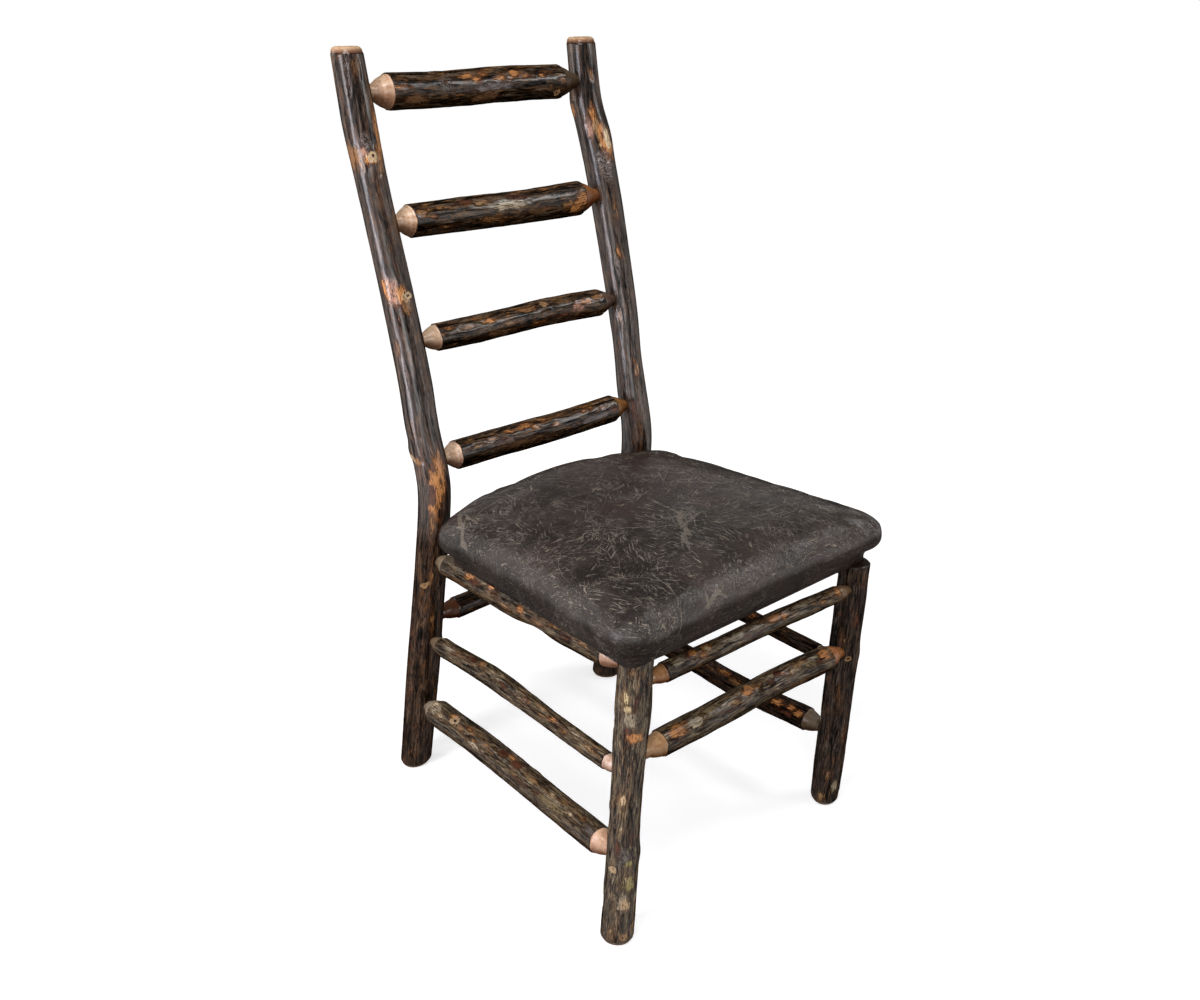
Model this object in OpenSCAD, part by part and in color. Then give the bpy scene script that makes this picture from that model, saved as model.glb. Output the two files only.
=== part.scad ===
/* [Overall size] */
// Height of the taller back post
chair_h = 1077; // [960:1:1200]
// Distance between the front leg centres at the floor
front_w = 413; // [360:1:470]
// Distance between the back post centres at the floor
back_w = 401; // [350:1:460]
// Distance from the front leg centres back to the post centres, at the floor
foot_depth = 503; // [450:1:560]
// Distance between the front leg centres at the seat
front_head_w = 393; // [350:1:450]
// How far the front legs lean forward between the floor and the seat
front_lean = 14; // [0:1:30]

/* [Back posts] */
// Height of the bend in the back posts
bend_h = 504; // [480:1:560]
// How far the posts come forward between the foot and the bend
post_rake = 113; // [60:1:130]
// How far the posts lean back between the bend and the top
back_lean = 129; // [60:1:160]
// How softly the posts turn at the bend
bend_soft = 34; // [10:1:80]
// Distance between the post centres at the bend
bend_w = 387; // [340:1:440]
// Distance between the post centres at the top
top_w = 386; // [340:1:440]
// Post diameter at the foot
post_foot_d = 50; // [44:0.5:58]
// Post diameter at the bend
post_bend_d = 46; // [42:0.5:54]
// Post diameter at the top
post_top_d = 41; // [36:0.5:48]
// How much shorter the left post is
left_post_drop = 7; // [0:1:20]

/* [Front legs] */
// Leg diameter at the foot
leg_foot_d = 42; // [38:0.5:50]
// Leg diameter under the seat
leg_head_d = 41; // [38:0.5:48]

/* [Back rungs] */
// How far the top back rung sits below the top of the taller post
rung_top_drop = 62; // [45:1:100]
// How far the lowest back rung sits above the bend in the posts
rung_lowest_rise = 38; // [30:1:90]
// How far the second back rung is off its even place, upwards
rung_2_shift = -3; // [-10:1:10]
// How far the third back rung is off its even place, upwards
rung_3_shift = 2; // [-10:1:10]
// Diameter of the top back rung
rung_1_d = 47; // [38:0.5:52]
// Diameter of the second back rung
rung_2_d = 46; // [36:0.5:52]
// Diameter of the third back rung
rung_3_d = 38; // [32:0.5:48]
// Diameter of the lowest back rung
rung_4_d = 42; // [32:0.5:48]

/* [Seat rails] */
// Height of the side seat rail centres
rail_h = 393; // [380:1:410]
// Diameter of the side seat rails
rail_d = 36; // [34:0.5:40]
// How far the front seat rail sits below the side rails
front_rail_drop = 20; // [19:1:40]
// Diameter of the front seat rail
front_rail_d = 24; // [22:0.5:32]
// How far the rear seat rail sits below the side rails
rear_rail_drop = 27; // [24:1:40]
// Diameter of the rear seat rail
rear_rail_d = 26; // [22:0.5:32]
// How far the front rungs sit ahead of the leg centres
front_set = 6; // [0:0.5:7]

/* [Stretchers] */
// Height of the upper side stretchers
side_upper_h = 248; // [220:1:270]
// Diameter of the upper side stretchers
side_upper_d = 25; // [20:0.5:32]
// Height of the lower side stretchers
side_lower_h = 125; // [100:1:160]
// Diameter of the left lower side stretcher
side_lower_left_d = 39; // [32:0.5:42]
// Diameter of the right lower side stretcher
side_lower_right_d = 34; // [30:0.5:42]
// How far the lower front rung sits above the upper side stretchers
front_lower_rise = 25; // [24:1:60]
// Diameter of the lower front rung
front_lower_d = 35; // [30:0.5:40]
// How far the rear stretcher sits above the upper side stretchers
rear_rise = 35; // [28:1:70]
// Diameter of the rear stretcher
rear_stretcher_d = 32; // [26:0.5:38]

/* [Joints] */
// Diameter of the large tenons
tenon_large_d = 21; // [18:0.5:24]
// Diameter of the middle tenons
tenon_mid_d = 18; // [16:0.5:20]
// Diameter of the small tenons
tenon_small_d = 15; // [13:0.5:17]
// Depth of the mortises
mortise_depth = 28; // [22:0.5:31]
// Gap all round a tenon for the glue
glue_gap = 0.12; // [0.05:0.01:0.3]
// Gap past the end of a tenon
end_gap = 1.5; // [0.5:0.1:3]
// Length of the shaved cone behind each tenon
cone_length = 20; // [14:0.5:26]
// Bare tenon left between the cone and the post
tenon_show = 2.5; // [1.5:0.1:5]

/* [Seat] */
// Width of the seat board at the front
board_front_w = 433; // [400:1:500]
// Width of the seat board at the back
board_back_w = 397; // [380:1:460]
// Thickness of the seat board
board_t = 12; // [9:0.5:18]
// How far the board stands out in front of the front leg centres
board_overhang = 29; // [25:1:60]
// How far the board's back edge bows out between the posts
board_bow = 22; // [0:1:30]
// How far the board's front is off to the right, and its back to the left
board_skew = 3.5; // [0:0.5:5]
// Corner radius of the seat board
board_corner = 14; // [10:1:60]
// Depth of the flats planed on the side rails under the seat
rail_flat = 2; // [1:0.1:4]
// Height of the padding at its edge, above the board
pad_edge = 49; // [30:1:60]
// Rise of the crown above the padding's edge
pad_crown = 17; // [8:1:30]
// How much lower the padding lies at its corners
pad_dip = 5; // [0:1:12]
// How much higher the padding lies in the middle of its back edge
pad_lift = 11; // [0:1:16]
// How far the padding swells out past the board
pad_swell = 24; // [4:0.5:30]
// Thickness of the leather
leather_t = 1.5; // [1:0.1:2.5]
// Width of the leather turned under the board
turn_under = 48; // [44:1:70]

/* [Seat screws] */
// Diameter of a seat screw
screw_d = 4.5; // [3.5:0.1:6]
// Diameter of a seat screw's head
screw_head_d = 9; // [7:0.1:11]
// Height of a seat screw's head
screw_head_t = 3; // [2:0.1:4]
// How deep the screw heads are sunk into the rails
screw_sink = 6; // [4:0.5:9]
// How far the screws reach into the board
screw_bite = 8; // [5:0.5:8.5]
// Distance of the screws from the centres of the post and the leg
screw_inset = 95; // [80:1:120]

/* [Hidden] */

LEFT = -1;
RIGHT = 1;

// Colours of the bark, the bare wood, the leather and the seat's inner pieces
bark = [0.20, 0.16, 0.14];
bark_grey = [0.33, 0.29, 0.25];
leather = [0.21, 0.19, 0.19];
plywood = [0.76, 0.62, 0.44];
foam = [0.90, 0.85, 0.66];
cambric = [0.07, 0.07, 0.08];
steel = [0.66, 0.66, 0.68];

// Grown shape of a log: how oval and lobed it is, and how its girth swells along it
oval = 0.022;
lobe = 0.014;
swell = 0.012;
// Turns of the swelling along a log and twist of its lobes, in degrees
swell_turns = 830;
lobe_twist = 150;

// Sides of a log, and the length of one ring of its surface on a post and on a rung
log_sides = 16;
post_step = 36;
rung_step = 26;
round_facets = 48;

// Bevel at a foot, and the rounded top of a post
foot_bevel = 4;
foot_bevel_h = 7;
low_ring_h = 24;
high_ring_drop = 16;
top_round = [[9, 0], [5, 1.2], [2, 4], [0, 8.5]];
head_bevel = 1.5;

// How far a cone's tip stands out round its tenon, and the small step where the bark begins
cone_tip = 0.6;
shoulder_drop = 1.5;
shoulder_length = 2;
// Bevel at a tenon's end, how deep a tenon starts inside its cone, and how far a drill runs out
tenon_bevel = 1.5;
tenon_root = 4;
drill_run_out = 12;

// Sideways and backward drift of each post as it grew: at the foot, the bend and the top
post_drift_left = [[-3, 4], [-1, -2], [0, -1]];
post_drift_right = [[2, 1], [-5, -2], [0, 1]];
// The same for the front legs, at the foot and at the seat
leg_drift_left = [[-8, 2], [11, 6]];
leg_drift_right = [[0, 4], [4, -11]];
// Crooks of each post: share of the height, sideways and backward shift there, and length
post_crooks_left = [[0.891, -4.1, 3.2, 150], [0.548, -2, 1.6, 40]];
post_crooks_right = [[0.915, -5, 4, 75], [0.52, -4, 3.2, 90]];

// The two wide feet and the seat set the depth, and the origin is half way between
top_reach = back_lean - post_rake + post_top_d / 2;
back_reach = max(top_reach, post_foot_d / 2);
leather_gap = 0.3;
seat_reach = board_overhang + leather_gap + leather_t + pad_swell;
front_foot_y = (seat_reach - foot_depth - back_reach) / 2;
back_foot_y = front_foot_y + foot_depth;

// How far the seat's sides are drawn in between its corners, and the gap round the cloth below
pad_draw_in = 2.5;
cloth_gap = 0.6;
// Rounding of the padding's and the leather's lower edges, and how far drills start outside
foam_round = 2;
leather_round = 1;
drill_start = 1;
// Gaps round a seat screw in the board, and in the rail and the leather
screw_gap = 0.1;
rail_hole_gap = 0.5;
head_gap = 1;

// The seat lies on the flats of the side rails
seat_h = rail_h + rail_d / 2 - rail_flat;
board_h = seat_h + leather_t;

function mix(a, b, t) = a + (b - a) * t;
function unit(v) = v / norm(v);
function turn_apart(a, b) = abs(((a - b) % 360 + 540) % 360 - 180);

// A rise that dies away on both sides of a place
function hump(x, middle, length) = exp(-pow((x - middle) / length, 2));

// Height of a swelling round a knot on a log of some length: [share of the length, angle round,
// height, length, width in degrees]. A width of all_round makes it a swelling of the whole log,
// or a waist where its height is negative
all_round = 400;
function one_knot(k, length, along, angle) =
    k[2] * hump(along, k[0] * length, k[3]) * hump(turn_apart(angle, k[1]), 0, k[4]);
function knot_rise(knots, length, along, angle, i = 0) = i == len(knots) ? 0
    : one_knot(knots[i], length, along, angle) + knot_rise(knots, length, along, angle, i + 1);

// Radius of a grown log at a share of its length and at an angle round it
function grown_r(r, t, angle, turn) = r * (1 + oval * cos(2 * angle + turn)
    + lobe * cos(3 * angle - turn + lobe_twist * t) + swell * sin(swell_turns * t + turn));

// Centre line of a back post at a height
function post_drift(side) = side == LEFT ? post_drift_left : post_drift_right;
function post_top(side) = side == LEFT ? chair_h - left_post_drop : chair_h;
function post_crooks(side) = side == LEFT ? post_crooks_left : post_crooks_right;
function crook_at(crooks, z, i = 0) = i == len(crooks) ? [0, 0]
    : [crooks[i][1], crooks[i][2]] * hump(z, crooks[i][0] * chair_h, crooks[i][3])
        + crook_at(crooks, z, i + 1);
function post_drift_at(side, z) = crook_at(post_crooks(side), z) + (z < bend_h
    ? mix(post_drift(side)[0], post_drift(side)[1], z / bend_h)
    : mix(post_drift(side)[1], post_drift(side)[2], (z - bend_h) / (chair_h - bend_h)));
function post_half_w(z) = z < bend_h
    ? mix(back_w, bend_w, z / bend_h) / 2
    : mix(bend_w, top_w, (z - bend_h) / (chair_h - bend_h)) / 2;
low_slope = -post_rake / bend_h;
high_slope = back_lean / (chair_h - bend_h);
function post_y(z) = back_foot_y - post_rake + (low_slope + high_slope) / 2 * (z - bend_h)
    + (high_slope - low_slope) / 2 * sqrt(pow(z - bend_h, 2) + pow(bend_soft, 2));
function post_at(side, z) = [side * post_half_w(z) + post_drift_at(side, z).x,
    post_y(z) + post_drift_at(side, z).y, z];
function post_slope(z) = abs(post_y(z + 5) - post_y(z - 5)) / 10;

// Centre line of a front leg at a height
function leg_drift(side) = side == LEFT ? leg_drift_left : leg_drift_right;
function leg_at(side, z) = let (t = z / seat_h, d = mix(leg_drift(side)[0], leg_drift(side)[1], t))
    [side * mix(front_w, front_head_w, t) / 2 + d.x, front_foot_y - front_lean * t + d.y, z];
function leg_slope(side) = let (run = leg_at(side, seat_h) - leg_at(side, 0)) norm([run.x, run.y]) / seat_h;

// Knots of each log that stand out far enough to change its outline
post_knots_left = [[0.91, 0, 1.8, 50, all_round], [0.871, -100, 2.4, 14, 35],
    [0.367, -125, 2.4, 12, 35], [0.52, 150, 2.2, 9, 30], [0.176, 0, 0.8, 80, all_round]];
post_knots_right = [[0.817, 0, 1.8, 130, all_round], [0.877, -40, 3.6, 30, 70],
    [0.915, 140, 3, 20, 50], [0.576, 0, -2, 45, all_round]];
leg_knots_left = [[0.477, 0, -2.4, 80, all_round], [0.33, -60, 1.8, 15, 60],
    [0.232, -150, 1.6, 10, 30], [0.819, -70, 1.6, 30, 60]];
leg_knots_right = [[0.367, 0, 0.9, 150, all_round], [0.648, -60, 1.4, 14, 50],
    [0.856, -90, 1.6, 30, 60]];
function post_knots(side) = side == LEFT ? post_knots_left : post_knots_right;
function leg_knots(side) = side == LEFT ? leg_knots_left : leg_knots_right;

// Starting angle of each kind of log's oval, so that no two logs are alike
function side_turn(side, start) = start + 75 * side;

function post_r(side, z, angle) = let (
        d = z < bend_h ? mix(post_foot_d, post_bend_d, z / bend_h)
            : mix(post_bend_d, post_top_d, (z - bend_h) / (chair_h - bend_h)))
    grown_r(d / 2, z / chair_h, angle, side_turn(side, 20))
        + knot_rise(post_knots(side), chair_h, z, angle);
function leg_r(side, z, angle) =
    grown_r(mix(leg_foot_d, leg_head_d, z / seat_h) / 2, z / seat_h, angle, side_turn(side, 200))
    + knot_rise(leg_knots(side), seat_h, z, angle);

// The middle of a ring of points
function ring_middle(ring) = [for (k = [0 : 2]) [for (p = ring) p[k]] * [for (p = ring) 1 / len(ring)]];

// A closed skin over rings of points, each ring with as many points as the next. The rings turn
// counter-clockwise seen from the last one, and a fan from its middle closes each end.
module skin(rings) {
    n = len(rings[0]);
    last = len(rings) - 1;
    points = concat([for (ring = rings) each ring], [ring_middle(rings[0]), ring_middle(rings[last])]);
    foot_middle = len(points) - 2;
    head_middle = len(points) - 1;
    walls = [for (i = [0 : last - 1]) for (j = [0 : n - 1]) let (
            a = i * n + j,
            b = i * n + (j + 1) % n)
        each [[a, a + n, b], [b, a + n, b + n]]];
    foot = [for (j = [0 : n - 1]) [foot_middle, j, (j + 1) % n]];
    head = [for (j = [0 : n - 1]) [head_middle, last * n + (j + 1) % n, last * n + j]];
    polyhedron(points, concat(foot, walls, head));
}

// Heights of the rings of an upright log, from its foot to its top
function ring_heights(top) = let (
        high_ring_h = top - high_ring_drop,
        count = ceil((high_ring_h - low_ring_h) / post_step))
    [for (i = [0 : count]) mix(low_ring_h, high_ring_h, i / count)];

// One ring of an upright log, drawn in by a bevel
function post_ring(side, z, bevel) = [for (j = [0 : log_sides - 1]) let (a = j * 360 / log_sides)
    post_at(side, z) + (post_r(side, z, a) - bevel) * [cos(a), sin(a), 0]];
function leg_ring(side, z, bevel) = [for (j = [0 : log_sides - 1]) let (a = j * 360 / log_sides)
    leg_at(side, z) + (leg_r(side, z, a) - bevel) * [cos(a), sin(a), 0]];

module post_log(side) {
    top = post_top(side);
    skin(concat([post_ring(side, 0, foot_bevel), post_ring(side, foot_bevel_h, 0)],
        [for (z = ring_heights(top)) post_ring(side, z, 0)],
        [for (r = top_round) post_ring(side, top - r[0], r[1])]));
}

module leg_log(side) {
    skin(concat([leg_ring(side, 0, foot_bevel), leg_ring(side, foot_bevel_h, 0)],
        [for (z = ring_heights(seat_h)) leg_ring(side, z, 0)],
        [leg_ring(side, seat_h - head_bevel, 0), leg_ring(side, seat_h, head_bevel)]));
}

// A joint of a rung: the centre of the post or leg there, its radius towards the rung, and how
// steeply its surface runs away along a tenon's width
function post_joint(side, z, angle) = [post_at(side, z), post_r(side, z, angle), post_slope(z)];
function leg_joint(side, z, angle, ahead) = [leg_at(side, z) - [0, ahead, 0],
    leg_r(side, z, angle), leg_slope(side)];

// Where each rung runs: the joint at its first end, the joint at its second end
function back_run(z, tilt = 0) = [post_joint(LEFT, z - tilt / 2, 0), post_joint(RIGHT, z + tilt / 2, 180)];
function front_run(z) = [leg_joint(LEFT, z, 0, front_set), leg_joint(RIGHT, z, 180, front_set)];
function side_run(side, z, rise) = [post_joint(side, z - rise / 2, 270),
    leg_joint(side, z + rise / 2, 90, 0)];

// The holes are drilled by eye: a back rung stands this much higher on the right post, and a side
// run rises this much to the front, or falls where it is negative
back_tilt = 3;
upper_rise = -7;
lower_rise = -4;
rung_1_h = chair_h - rung_top_drop;
rung_4_h = bend_h + rung_lowest_rise;
run_1 = back_run(rung_1_h, back_tilt);
run_2 = back_run(mix(rung_1_h, rung_4_h, 1 / 3) + rung_2_shift, back_tilt);
run_3 = back_run(mix(rung_1_h, rung_4_h, 2 / 3) + rung_3_shift, back_tilt);
run_4 = back_run(rung_4_h, back_tilt);
run_front_rail = front_run(rail_h - front_rail_drop);
run_front_lower = front_run(side_upper_h + front_lower_rise);
run_rear_rail = back_run(rail_h - rear_rail_drop);
run_rear = back_run(side_upper_h + rear_rise);
run_rail_left = side_run(LEFT, rail_h, 0);
run_rail_right = side_run(RIGHT, rail_h, 0);
run_upper_left = side_run(LEFT, side_upper_h, upper_rise);
run_upper_right = side_run(RIGHT, side_upper_h, upper_rise);
run_lower_left = side_run(LEFT, side_lower_h, lower_rise);
run_lower_right = side_run(RIGHT, side_lower_h, lower_rise);

// Direction of a run, and how far from a joint's centre the wood of its rung begins
function run_way(run) = unit(run[1][0] - run[0][0]);
function run_length(run) = norm(run[1][0] - run[0][0]);
function stand_off(joint, tenon_d) = joint[1] + joint[2] * tenon_d / 2 + tenon_show;

// Turns what is drawn along +Z at the origin to run from a point along a direction
module aim(from, way) {
    translate(from)
        rotate([0, acos(way.z), atan2(way.y, way.x)])
            children();
}

// The drilled mortise of a joint: way points out of the hole
module mortise(joint, way, tenon_d) {
    bottom = joint[1] - mortise_depth;
    aim(joint[0] + way * bottom, way)
        cylinder(h = mortise_depth + drill_run_out, d = tenon_d + 2 * glue_gap, $fn = round_facets);
}

// Both mortises of a run, for the post or leg that is cut with them
module run_mortises(run, tenon_d) {
    mortise(run[0], run_way(run), tenon_d);
    mortise(run[1], -run_way(run), tenon_d);
}

// One ring of a rung: along is the distance from the first joint's centre
function rung_ring(run, along, r, bevel, bow, knots, turn) = let (
        way = run_way(run),
        across = unit(cross([0, 0, 1], way)),
        up = cross(way, across),
        t = along / run_length(run),
        drift = across * bow[0] * pow(sin(180 * t), 2) + up * bow[1] * pow(sin(180 * t), 2)
            + up * bow[2] * sin(360 * t) * pow(sin(180 * t), 2))
    [for (j = [0 : log_sides - 1]) let (
            a = j * 360 / log_sides,
            full = grown_r(r, t, a, turn) + knot_rise(knots, run_length(run), along, a))
        run[0][0] + way * along + drift
            + (bevel[0] + (full - bevel[1]) * bevel[2]) * (across * cos(a) + up * sin(a))];

// A rung: the bark log, its shaved cones and the tenons that sit in the mortises.
// dia and cones hold the diameter and the cone's length at its two ends, bow its sideways,
// upward and waving drift, knots its swellings and turn the angle of its oval
module rung(run, dia, tenon_d, cones, bow, knots, turn) {
    way = run_way(run);
    span = run_length(run);
    start = stand_off(run[0], tenon_d);
    finish = span - stand_off(run[1], tenon_d);
    first = start + cones[0];
    last = finish - cones[1];
    count = ceil((last - first) / rung_step);
    function r_at(along) = mix(dia[0], dia[1], along / span) / 2;
    function ring(along, bevel) = rung_ring(run, along, r_at(along), bevel, bow, knots, turn);
    bare = [tenon_d / 2 + cone_tip, 0, 0];
    shaved = [0, shoulder_drop, 1];
    full = [0, 0, 1];
    union() {
        skin(concat([ring(start, bare), ring(first, shaved), ring(first + shoulder_length, full)],
            [for (i = [1 : count - 1]) ring(mix(first, last, i / count), full)],
            [ring(last - shoulder_length, full), ring(last, shaved), ring(finish, bare)]));
        tenon(run[0], way, tenon_d);
        tenon(run[1], -way, tenon_d);
    }
}

// A tenon: its end stays clear of the mortise's bottom, and it starts inside the cone
module tenon(joint, way, tenon_d) {
    bottom = joint[1] - mortise_depth + end_gap;
    top = stand_off(joint, tenon_d) + tenon_root;
    aim(joint[0] + way * bottom, way)
        union() {
            cylinder(h = tenon_bevel, d1 = tenon_d - 2 * tenon_bevel, d2 = tenon_d, $fn = round_facets);
            translate([0, 0, tenon_bevel])
                cylinder(h = top - bottom - tenon_bevel, d = tenon_d, $fn = round_facets);
        }
}

module rear_post(side) {
    color(bark) difference() {
        post_log(side);
        for (run = [run_1, run_2])
            run_mortises(run, tenon_large_d);
        for (run = [run_3, run_4, run_rear])
            run_mortises(run, tenon_mid_d);
        run_mortises(run_rear_rail, tenon_small_d);
        mortise(side_joints(side)[0][0], run_way(side_joints(side)[0]), tenon_mid_d);
        mortise(side_joints(side)[1][0], run_way(side_joints(side)[1]), tenon_small_d);
        mortise(side_joints(side)[2][0], run_way(side_joints(side)[2]), tenon_mid_d);
    }
}

// Runs of one side: seat rail, upper stretcher, lower stretcher
function side_joints(side) = side == LEFT
    ? [run_rail_left, run_upper_left, run_lower_left]
    : [run_rail_right, run_upper_right, run_lower_right];

module front_leg(side) {
    color(bark_grey) difference() {
        leg_log(side);
        run_mortises(run_front_rail, tenon_small_d);
        run_mortises(run_front_lower, tenon_mid_d);
        mortise(side_joints(side)[0][1], -run_way(side_joints(side)[0]), tenon_mid_d);
        mortise(side_joints(side)[1][1], -run_way(side_joints(side)[1]), tenon_small_d);
        mortise(side_joints(side)[2][1], -run_way(side_joints(side)[2]), tenon_mid_d);
    }
}

module rear_post_left() {
    rear_post(LEFT);
}

module rear_post_right() {
    rear_post(RIGHT);
}

module front_leg_left() {
    front_leg(LEFT);
}

module front_leg_right() {
    front_leg(RIGHT);
}

// Cones at both ends of a rung, each longer or shorter than the usual one by some millimetres
function cones(first, second) = [cone_length + first, cone_length + second];

module back_rung_top() {
    color(bark) rung(run_1, [rung_1_d - 0.5, rung_1_d + 1.5], tenon_large_d, cones(0, 6),
        [2, 0, -2], [[0.31, 120, 1.2, 10, 30], [0.65, 240, 1, 24, 60]], 10);
}

module back_rung_second() {
    color(bark) rung(run_2, [rung_2_d - 3, rung_2_d + 2.5], tenon_large_d, cones(-5, 7),
        [-2, -1, 1], [[0.775, 150, 1.2, 20, 50]], 130);
}

module back_rung_third() {
    color(bark) rung(run_3, [rung_3_d - 2, rung_3_d + 2], tenon_mid_d, cones(-3, 0),
        [2, 1, -2], [[0.61, 160, 2, 10, 35]], 250);
}

module back_rung_lowest() {
    color(bark) rung(run_4, [rung_4_d - 0.5, rung_4_d], tenon_mid_d, cones(-6, 2),
        [1, -2, 1], [[0.7, 130, 1.4, 14, 40]], 70);
}

// Places of the seat screws on the floor plan, two along each side rail
function rail_screws(run) = [for (along = [screw_inset, run_length(run) - screw_inset])
    let (p = run[0][0] + run_way(run) * along) [p.x, p.y]];
screw_spots = concat(rail_screws(run_rail_left), rail_screws(run_rail_right));
// Height of the seats that the screw heads press on
screw_head_h = rail_h - rail_d / 2 + screw_sink;

module seat_rail(run, turn, bow, knots) {
    middle = (run[0][0] + run[1][0]) / 2;
    length = run_length(run);
    color(bark_grey) difference() {
        rung(run, [rail_d, rail_d], tenon_mid_d, cones(0, 0), bow, knots, turn);
        translate([middle.x - rail_d, middle.y - length / 2, seat_h])
            cube([2 * rail_d, length, rail_d]);
        for (spot = rail_screws(run))
            translate(spot) {
                translate([0, 0, rail_h - rail_d])
                    cylinder(h = 2 * rail_d, d = screw_d + 2 * rail_hole_gap, $fn = round_facets);
                translate([0, 0, screw_head_h - rail_d])
                    cylinder(h = rail_d, d = screw_head_d + 2 * head_gap, $fn = round_facets);
            }
    }
}

module seat_rail_left() {
    seat_rail(run_rail_left, 40, [-2, 0, 1], [[0.165, 270, -3.5, 45, 70], [0.6, 270, -5, 28, 70]]);
}

module seat_rail_right() {
    seat_rail(run_rail_right, 160, [2, 0, -1], [[0.34, 270, -3, 40, 70], [0.68, 280, -2, 40, 60]]);
}

module seat_rail_front() {
    color(bark_grey) rung(run_front_rail, [front_rail_d + 1, front_rail_d - 1], tenon_small_d,
        cones(-5, -5), [1, 1, -1], [[0.32, 150, 1.6, 12, 50], [0.745, 150, 1.2, 16, 60]], 300);
}

module seat_rail_rear() {
    color(bark) rung(run_rear_rail, [rear_rail_d, rear_rail_d], tenon_small_d,
        cones(-5, -5), [1, 1, 1], [[0.385, 200, 1.2, 14, 50]], 220);
}

module side_stretcher_upper_left() {
    color(bark_grey) rung(run_upper_left, [side_upper_d + 2, side_upper_d - 3], tenon_small_d,
        cones(-5, -5), [2, 4.5, 3], [[0.4, 0, 2, 90, all_round], [0.355, 110, 2.4, 13, 45]], 15);
}

module side_stretcher_upper_right() {
    color(bark_grey) rung(run_upper_right, [side_upper_d, side_upper_d - 3], tenon_small_d,
        cones(-5, -5), [-1, 5, 0], [[0.53, 120, 1.6, 14, 45]], 145);
}

module side_stretcher_lower_left() {
    color(bark_grey) rung(run_lower_left, [side_lower_left_d + 2, side_lower_left_d - 2],
        tenon_mid_d, cones(0, 0), [2, 1.5, 2], [[0.157, 150, 1.8, 18, 45], [0.366, 120, 1.2, 14, 40]], 95);
}

module side_stretcher_lower_right() {
    color(bark_grey) rung(run_lower_right, [side_lower_right_d - 1, side_lower_right_d + 1.5],
        tenon_mid_d, cones(0, 0), [-2, -4, 4], [[0.52, 130, 1.4, 20, 50]], 275);
}

module front_rung_lower() {
    color(bark_grey) rung(run_front_lower, [front_lower_d - 0.5, front_lower_d + 0.5],
        tenon_mid_d, cones(0, 0), [1, 2, -2], [[0.55, 140, 2.2, 12, 40], [0.276, 160, 1.4, 12, 50]], 185);
}

module rear_stretcher() {
    color(bark) rung(run_rear, [rear_stretcher_d, rear_stretcher_d - 1], tenon_mid_d,
        cones(0, 0), [1, 2, 1], [[0.305, 150, 1.6, 16, 45]], 330);
}

// Lower and upper height of the padding's swelling side, and how far it stands out there:
// [share of its height, share of the swell]
pad_low = board_h + board_t;
pad_high = pad_low + pad_edge;
pad_side = [[0.1, 0.6], [0.28, 0.92], [0.5, 1], [0.8, 0.87]];

// Front edge of the seat board, and its back edge, where the leather just clears both posts
post_clear = 0.5;
board_front_y = front_foot_y - board_overhang;
board_back_y = min([for (side = [LEFT, RIGHT], s = pad_side)
        let (z = mix(pad_low, pad_high + pad_lift, s[0]))
        post_at(side, z).y - post_r(side, z, 270) - pad_swell * s[1]])
    - leather_gap - leather_t - post_clear;

// Centres of the board's corners, and the steps of its outline
corner_x_front = board_front_w / 2 - board_corner;
corner_x_back = board_back_w / 2 - board_corner;
corner_y_front = board_front_y + board_corner;
corner_y_back = board_back_y - board_corner;
corner_steps = 5;
side_steps = 6;

// Outline of the board as points with their outward directions, [point, outward]: its corners,
// counter-clockwise from the back right one, and the sides that follow them
function board_arc(x, y, from) = [for (i = [0 : corner_steps])
    let (a = from + 90 * i / corner_steps)
    [[x + board_corner * cos(a), y + board_corner * sin(a)], [cos(a), sin(a)]]];
function board_side(a, b, bow) = let (out = unit(a[1] + b[1])) [for (i = [1 : side_steps - 1])
    [mix(a[0], b[0], i / side_steps) + out * bow * sin(180 * i / side_steps), out]];
arcs = [board_arc(corner_x_back - board_skew, corner_y_back, 0),
    board_arc(-corner_x_back - board_skew, corner_y_back, 90),
    board_arc(-corner_x_front + board_skew, corner_y_front, 180),
    board_arc(corner_x_front + board_skew, corner_y_front, 270)];
side_bows = [board_bow, 0, 0, 0];
outline = [for (k = [0 : 3]) each concat(arcs[k],
    board_side(arcs[k][corner_steps], arcs[(k + 1) % 4][0], side_bows[k]))];
board_middle = [0, (board_front_y + board_back_y) / 2];

// Place along a side: 0 all round a corner and 1 in the middle of a side
function side_share(i) = let (j = i % (corner_steps + side_steps))
    j <= corner_steps ? 0 : sin(180 * (j - corner_steps) / side_steps);

// Share of the padding's lift at a place: 1 in the middle of the back edge, and 0 along the
// front edge and at the sides
function back_share(y) = min(1, max(0, (y - board_front_y) / (board_back_y - board_front_y)));
function lift_share(p) = pow(back_share(p.y), 2) * max(0, 1 - pow(2 * p.x / board_back_w, 2));

// A ring of the seat: the outline moved out by some distance, drawn in along its sides, at a
// height from which its corners dip, and shrunk towards the middle of the seat by a share
function seat_ring(out, z, draw = 0, dip = 0, lift = 0, share = 1) =
    [for (i = [0 : len(outline) - 1]) let (
        o = outline[i],
        p = mix(board_middle, o[0] + o[1] * (out - draw * side_share(i)), share))
    [p.x, p.y, z - dip * (1 - side_share(i)) + lift * lift_share(p)]];

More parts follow.
